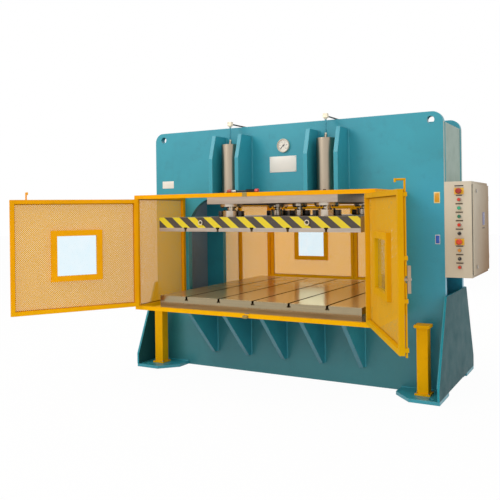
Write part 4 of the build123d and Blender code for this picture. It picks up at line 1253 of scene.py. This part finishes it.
class PRESS_OT_signs(Operator):
    """Blank plates on the front plate and the cabinet"""

    bl_idname = "press.signs"
    bl_label = "Blank plates"

    def execute(self, context):
        sizes = context.scene.press_sizes
        self.main_sign(sizes)
        for name, low, high, thickness, finish in (
                ("left_label", (-1.224, 1.563), (-1.100, 1.627), 0.0008, "white"),
                ("upper_right_label_rim", (1.222, 1.390), (1.265, 1.471), 0.0006, "label_pale"),
                ("upper_right_label", (1.227, 1.397), (1.260, 1.463), 0.0012, "label_amber"),
                ("lower_right_label_rim", (1.228, 1.093), (1.262, 1.160), 0.0006, "white"),
                ("lower_right_label", (1.231, 1.097), (1.259, 1.156), 0.0012, "label_blue")):
            self.front_plate(name, low, high, thickness, finish)
        self.legend_bars(sizes)
        self.cabinet_plate()
        return {"FINISHED"}

    def main_sign(self, sizes):
        """The blank plate under the gauge, held by four rivets."""
        middle, thickness, inset = 1.7305, 0.002, 0.009
        half, rise = sizes.sign_width / 2, sizes.sign_height / 2
        self.front_plate("blank_sign", (-half, middle - rise), (half, middle + rise), thickness,
                         "white")
        bm = bmesh.new()
        for x in (-half + inset, half - inset):
            for z in (middle - rise + inset, middle + rise - inset):
                add_disc(bm, (x, -PLATE_FACE - thickness, z), (0, -1, 0), 0.0035, 0.0018,
                         segments=16, top_radius=0.0022)
        to_object("blank_sign_rivets", bm, "zinc", "frame")

    def front_plate(self, name, low, high, thickness, finish):
        """A thin plate on the front of the frame, between two corners given as X and Z."""
        bm = bmesh.new()
        add_block(bm, (low[0], -PLATE_FACE - thickness, low[1]),
                  (high[0], -PLATE_FACE + 0.001, high[1]), thickness * 0.3)
        to_object(name, bm, finish, "frame")

    def legend_bars(self, sizes):
        """Bare legend bars beside the stop buttons, which have no plate of their own there."""
        bm = bmesh.new()
        x, face, half_height = 1.3995, -0.314, 0.0042
        for steps, half_width, rise in ((0.0, 0.031, 0.0375), (0.5, 0.022, 0.0),
                                        (6.5, 0.025, 0.0)):
            z = sizes.control_top + rise - steps * sizes.control_pitch
            add_block(bm, (x - half_width, face - 0.0007, z - half_height),
                      (x + half_width, face + 0.0005, z + half_height), 0.0003)
        to_object("legend_bars", bm, "grime_bar", "frame")

    def cabinet_plate(self):
        """The small blank plate on the side of the cabinet, and the dark line under it."""
        for name, low, high, bevel, finish in (
                ("cabinet_blank_plate", (1.4972, 0.030, 1.222), (1.4986, 0.120, 1.318), 0.0004,
                 "label_violet"),
                ("cabinet_plate_line", (1.4972, 0.020, 1.196), (1.4982, 0.120, 1.203), 0.0003,
                 "rubber")):
            bm = bmesh.new()
            add_block(bm, low, high, bevel)
            to_object(name, bm, finish, "cabinet_door")


class PRESS_OT_gauge_face(Operator):
    """Dial with ticks and plain numbers, glass and rim of the gauge"""

    bl_idname = "press.gauge_face"
    bl_label = "Gauge face"

    def execute(self, context):
        centre = Vector((0.010, 0.0, 1.881))
        dial_y, rim_y, glass_y = -0.323, -0.3322, -0.3303
        self.disc("gauge_dial", centre, dial_y + 0.0001, 0.0485, 0.0006, "dial", "gauge_metal")
        self.ticks(centre, dial_y - 0.0006)
        self.numbers(centre, dial_y - 0.0006)
        bm = bmesh.new()
        add_ring(bm, centre + Vector((0, rim_y, 0)), (0, 1, 0), 0.0520, 0.0052, 64, 12)
        recalc(bm)
        to_object("gauge_rim", bm, "gauge", "frame")
        self.disc("gauge_glass", centre, glass_y, 0.0488, 0.0010, "glass", "pane")
        return {"FINISHED"}

    def disc(self, name, centre, y, radius, height, finish, slot):
        bm = bmesh.new()
        add_disc(bm, centre + Vector((0, y, 0)), (0, -1, 0), radius, height, 64)
        to_object(name, bm, finish, "frame")

    def angle(self, step, steps):
        """Turn of one mark, clockwise from the top of the dial."""
        return math.radians(-135 + 270 * step / steps)

    def ticks(self, centre, y):
        """Fifty steps round the dial, with a longer tick at every fifth."""
        bm = bmesh.new()
        steps, outer, half_depth = 50, 0.0455, 0.0002
        for step in range(steps + 1):
            inner, width = (0.0385, 0.0011) if step % 5 == 0 else (0.0415, 0.0006)
            verts = add_block(bm, (-width / 2, -half_depth, inner),
                              (width / 2, half_depth, outer))
            bmesh.ops.rotate(bm, verts=verts, cent=(0, 0, 0),
                             matrix=Matrix.Rotation(self.angle(step, steps), 3, "Y"))
            bmesh.ops.translate(bm, verts=verts, vec=centre + Vector((0, y, 0)))
        to_object("gauge_marks", bm, "black", "frame", smooth=0)

    def numbers(self, centre, y):
        """Plain numbers from 0 to 250 inside the longer ticks."""
        steps, value, reach = 5, 50, 0.0305
        for step in range(steps + 1):
            text = bpy.data.curves.new("gauge_number", "FONT")
            text.body = str(step * value)
            text.size = 0.0085
            text.align_x = "CENTER"
            text.align_y = "CENTER"
            text.extrude = 0.0001
            holder = bpy.data.objects.new("gauge_number_maker", text)
            bpy.context.scene.collection.objects.link(holder)
            bpy.context.view_layer.update()
            mesh = bpy.data.meshes.new_from_object(
                holder.evaluated_get(bpy.context.evaluated_depsgraph_get()))
            bpy.data.objects.remove(holder)
            angle = self.angle(step, steps)
            place = centre + Vector((math.sin(angle) * reach, y, math.cos(angle) * reach))
            mesh.transform(Matrix.Translation(place) @ Matrix.Rotation(math.radians(90), 4, "X"))
            bm = bmesh.new()
            bm.from_mesh(mesh)
            bpy.data.meshes.remove(mesh)
            to_object("gauge_number_%d" % (step * value), bm, "black", "frame",
                      smooth=0)


class PRESS_OT_plate_switch(Operator):
    """Limit switch with its rod, spring and caps on the front of the cylinder plate"""

    bl_idname = "press.plate_switch"
    bl_label = "Plate switch"

    def execute(self, context):
        clamps = (-0.335, -0.14)
        self.clamps(clamps)
        self.bar("switch_rod", -0.306, 0.006, 0.175, 20, 0.0, "bolt", "rod_chrome")
        self.spring()
        self.bar("switch_left_cap", -0.388, 0.015, 0.038, 24, 0.004, "dark_red", "red_plastic")
        self.bar("switch_right_cap", -0.133, 0.015, 0.032, 24, 0.004, "red", "red_plastic")
        self.studs(clamps)
        return {"FINISHED"}

    def clamps(self, places):
        """Two clamp blocks on the plate, and the collar beside the left one."""
        bm = bmesh.new()
        half_width, half_depth, low, high = 0.014, 0.016, 1.4735, 1.498
        for x in places:
            add_block(bm, (x - half_width, SWITCH_Y - half_depth, low),
                      (x + half_width, SWITCH_Y + half_depth, high), 0.002)
        add_disc(bm, (-0.350, SWITCH_Y, SWITCH_Z), (1, 0, 0), 0.012, 0.045, 24, bevel=0.002)
        to_object("switch_clamps", bm, "zinc", "frame")

    def bar(self, name, start, radius, run, segments, bevel, finish, slot):
        """A round part along the middle of the switch."""
        bm = bmesh.new()
        add_disc(bm, (start, SWITCH_Y, SWITCH_Z), (1, 0, 0), radius, run, segments, bevel=bevel)
        to_object(name, bm, finish, "frame")

    def spring(self):
        """Eight closed rings that read as the turns of a spring."""
        bm = bmesh.new()
        start, pitch = -0.210, 0.009
        for number in range(8):
            add_ring(bm, (start + number * pitch, SWITCH_Y, SWITCH_Z), (1, 0, 0), 0.0125, 0.005,
                     20, 8)
        recalc(bm)
        to_object("switch_spring", bm, "bolt", "frame")

    def studs(self, places):
        """Studs on the clamps, and two more on the plate further right."""
        bm = bmesh.new()
        for x in places:
            add_disc(bm, (x, SWITCH_Y, 1.496), (0, 0, 1), 0.006, 0.008, 16)
        for x in (0.345, 0.095):
            add_disc(bm, (x, -0.548, 1.4735), (0, 0, 1), 0.007, 0.020, 6)
        to_object("switch_studs", bm, "bolt", "frame")


class PRESS_OT_latch_parts(Operator):
    """Latch receivers on the rails, hinge screws, and the screws and nut of the door lever"""

    bl_idname = "press.latch_parts"
    bl_label = "Latch parts"

    def execute(self, context):
        self.receivers()
        self.hinge_screws()
        self.lever_trim()
        return {"FINISHED"}

    def receivers(self):
        """Thin plates on the two front rails where the latches bear."""
        bm = bmesh.new()
        half_width, front, back = LATCH_X, -0.9825, -0.954
        for low, high in ((1.4860, 1.4877), (0.6005, 0.6030)):
            add_block(bm, (LATCH_X - half_width, front, low), (LATCH_X + half_width, back, high),
                      0.0004)
        to_object("latch_receivers", bm, "zinc", "frame")

    def hinge_heights(self, rail_low, rail_high):
        """Foot of each of the three hinges between two rails."""
        inset, end_share = 0.033, 0.13
        low, high = rail_low + inset, rail_high - inset
        end = (high - low) * end_share
        return [low + end, (low + high) / 2 - HINGE_LEAF, high - end - 2 * HINGE_LEAF]

    def hinge_screws(self):
        """Two screws in each leaf, the lower leaf on the frame and the upper one on the door."""
        fixed_x, swinging_x, gap = 0.992, 0.953, 0.001
        for place, (face, rail_low, rail_high, outward) in GUARDS.items():
            fixed = bmesh.new()
            for side in (-1, 1):
                swinging = bmesh.new()
                for z in self.hinge_heights(rail_low, rail_high):
                    for dz in (0.010, 0.032):
                        self.screw(fixed, side * fixed_x, face, z + dz, outward)
                        self.screw(swinging, side * swinging_x, face, z + HINGE_LEAF + gap + dz,
                                   outward)
                if place == "front":
                    bmesh.ops.transform(swinging, matrix=door_turn(side), verts=swinging.verts)
                door = "%s_%s_door" % (place, "left" if side < 0 else "right")
                to_object(door + "_hinge_screws", swinging, "zinc", door)
            to_object(place + "_hinge_screws", fixed, "zinc", "frame")

    def screw(self, bm, x, face, z, outward):
        """A low screw head on a hinge leaf."""
        leaf = 0.003
        add_disc(bm, (x, face + outward * leaf, z), (0, outward, 0), 0.004, 0.002, 12,
                 top_radius=0.0025)

    def lever_trim(self):
        """Two screw heads at the side of the lever, and the nut on its pin."""
        turn = door_turn(1)
        pin_z = 0.99125
        bm = bmesh.new()
        for z in (pin_z + 0.055, pin_z):
            add_disc(bm, (LATCH_X - 0.007, -1.0105, z), (-1, 0, 0), 0.007, 0.002, 20, bevel=0.0006)
        bmesh.ops.transform(bm, matrix=turn, verts=bm.verts)
        to_object("lever_screws", bm, "lever", "right_lever")
        bm = bmesh.new()
        add_hex_bolt(bm, (LATCH_X, -1.0195, pin_z), (0, -1, 0), 0.010, False)
        bmesh.ops.transform(bm, matrix=turn, verts=bm.verts)
        to_object("lever_nut", bm, "zinc", "right_lever")


class PRESS_OT_cabinet_trim(Operator):
    """Seal, glands and switch marks of the cabinet"""

    bl_idname = "press.cabinet_trim"
    bl_label = "Cabinet trim"

    def execute(self, context):
        self.seal()
        self.glands()
        self.selector_marks()
        return {"FINISHED"}

    def seal(self):
        """A strip round the opening behind the door, and the dark line at its front edge."""
        bm = bmesh.new()
        width, reach, low, high = 0.006, 0.2928, 0.8742, 1.5218
        for y0, y1, z0, z1 in ((-reach, width - reach, low, high),
                               (reach - width, reach, low, high),
                               (-reach, reach, low, low + width),
                               (-reach, reach, high - width, high)):
            add_block(bm, (1.4848, y0, z0), (1.4857, y1, z1))
        add_block(bm, (1.4835, -0.2965, low), (1.4885, -0.2945, high))
        to_object("cabinet_seal", bm, "rubber", "frame", smooth=0)

    def glands(self):
        """Three glands under the cabinet, each with a nut and a tapered cap."""
        bm = bmesh.new()
        x, top, nut = 1.375, 0.8535, 0.008
        for y in (0.02, 0.09, 0.16):
            add_disc(bm, (x, y, top), (0, 0, -1), 0.019, nut, 6)
            add_disc(bm, (x, y, top - nut), (0, 0, -1), 0.015, 0.018, 24, top_radius=0.012)
        to_object("cabinet_glands", bm, "black", "frame")

    def selector_marks(self):
        """A white line on the knob of each selector."""
        for name in ("upper", "lower"):
            low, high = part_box("selector_" + name)
            x = (low.x + high.x) / 2
            bm = bmesh.new()
            add_block(bm, (x - 0.0008, low.y - 0.0005, (low.z + high.z) / 2 + 0.001),
                      (x + 0.0008, low.y + 0.001, high.z - 0.002))
            to_object("selector_mark_" + name, bm, "white", "selector_" + name,
                      smooth=0)


class PRESS_OT_pipe_fittings(Operator):
    """Union nuts where the oil pipes meet the cylinders and the elbows"""

    bl_idname = "press.pipe_fittings"
    bl_label = "Pipe fittings"

    def execute(self, context):
        bm = bmesh.new()
        lower, upper = 1.9325, 2.0615
        for x in (-UNIT_REACH, UNIT_REACH):
            for y in (-UNIT_REACH, UNIT_REACH):
                add_disc(bm, (x, y, lower), (0, 0, 1), 0.0105, 0.014, 6, bevel=0.001)
                add_disc(bm, (x, y, upper), (0, 0, -1), 0.0105, 0.012, 6, bevel=0.001)
        to_object("pipe_nuts", bm, "fitting", "frame")
        return {"FINISHED"}


OPERATORS = (PRESS_OT_stage, PRESS_OT_finishes, PRESS_OT_guard_sheets, PRESS_OT_welds,
             PRESS_OT_ram_screws, PRESS_OT_ram_trim, PRESS_OT_post_bolts, PRESS_OT_signs,
             PRESS_OT_gauge_face, PRESS_OT_plate_switch, PRESS_OT_latch_parts,
             PRESS_OT_cabinet_trim, PRESS_OT_pipe_fittings)


class PRESS_PT_panel(Panel):
    """Lists the steps that dress the press"""

    bl_label = "Press"
    bl_idname = "PRESS_PT_panel"
    bl_space_type = "VIEW_3D"
    bl_region_type = "UI"
    bl_category = "Press"

    def draw(self, context):
        for operator in OPERATORS:
            self.layout.operator(operator.bl_idname)
        for group in (context.scene.press_sizes, context.scene.press_colours):
            for key in group.__annotations__:
                self.layout.prop(group, key)


CLASSES = (PressSizes, PressColours, *OPERATORS, PRESS_PT_panel)


def register():
    for item in CLASSES:
        bpy.utils.register_class(item)
    bpy.types.Scene.press_sizes = PointerProperty(type=PressSizes)
    bpy.types.Scene.press_colours = PointerProperty(type=PressColours)


def unregister():
    del bpy.types.Scene.press_sizes
    del bpy.types.Scene.press_colours
    for item in reversed(CLASSES):
        bpy.utils.unregister_class(item)


def main():
    register()
    for operator in OPERATORS:
        group, name = operator.bl_idname.split(".")
        getattr(getattr(bpy.ops, group), name)()


if __name__ == "__main__":
    main()
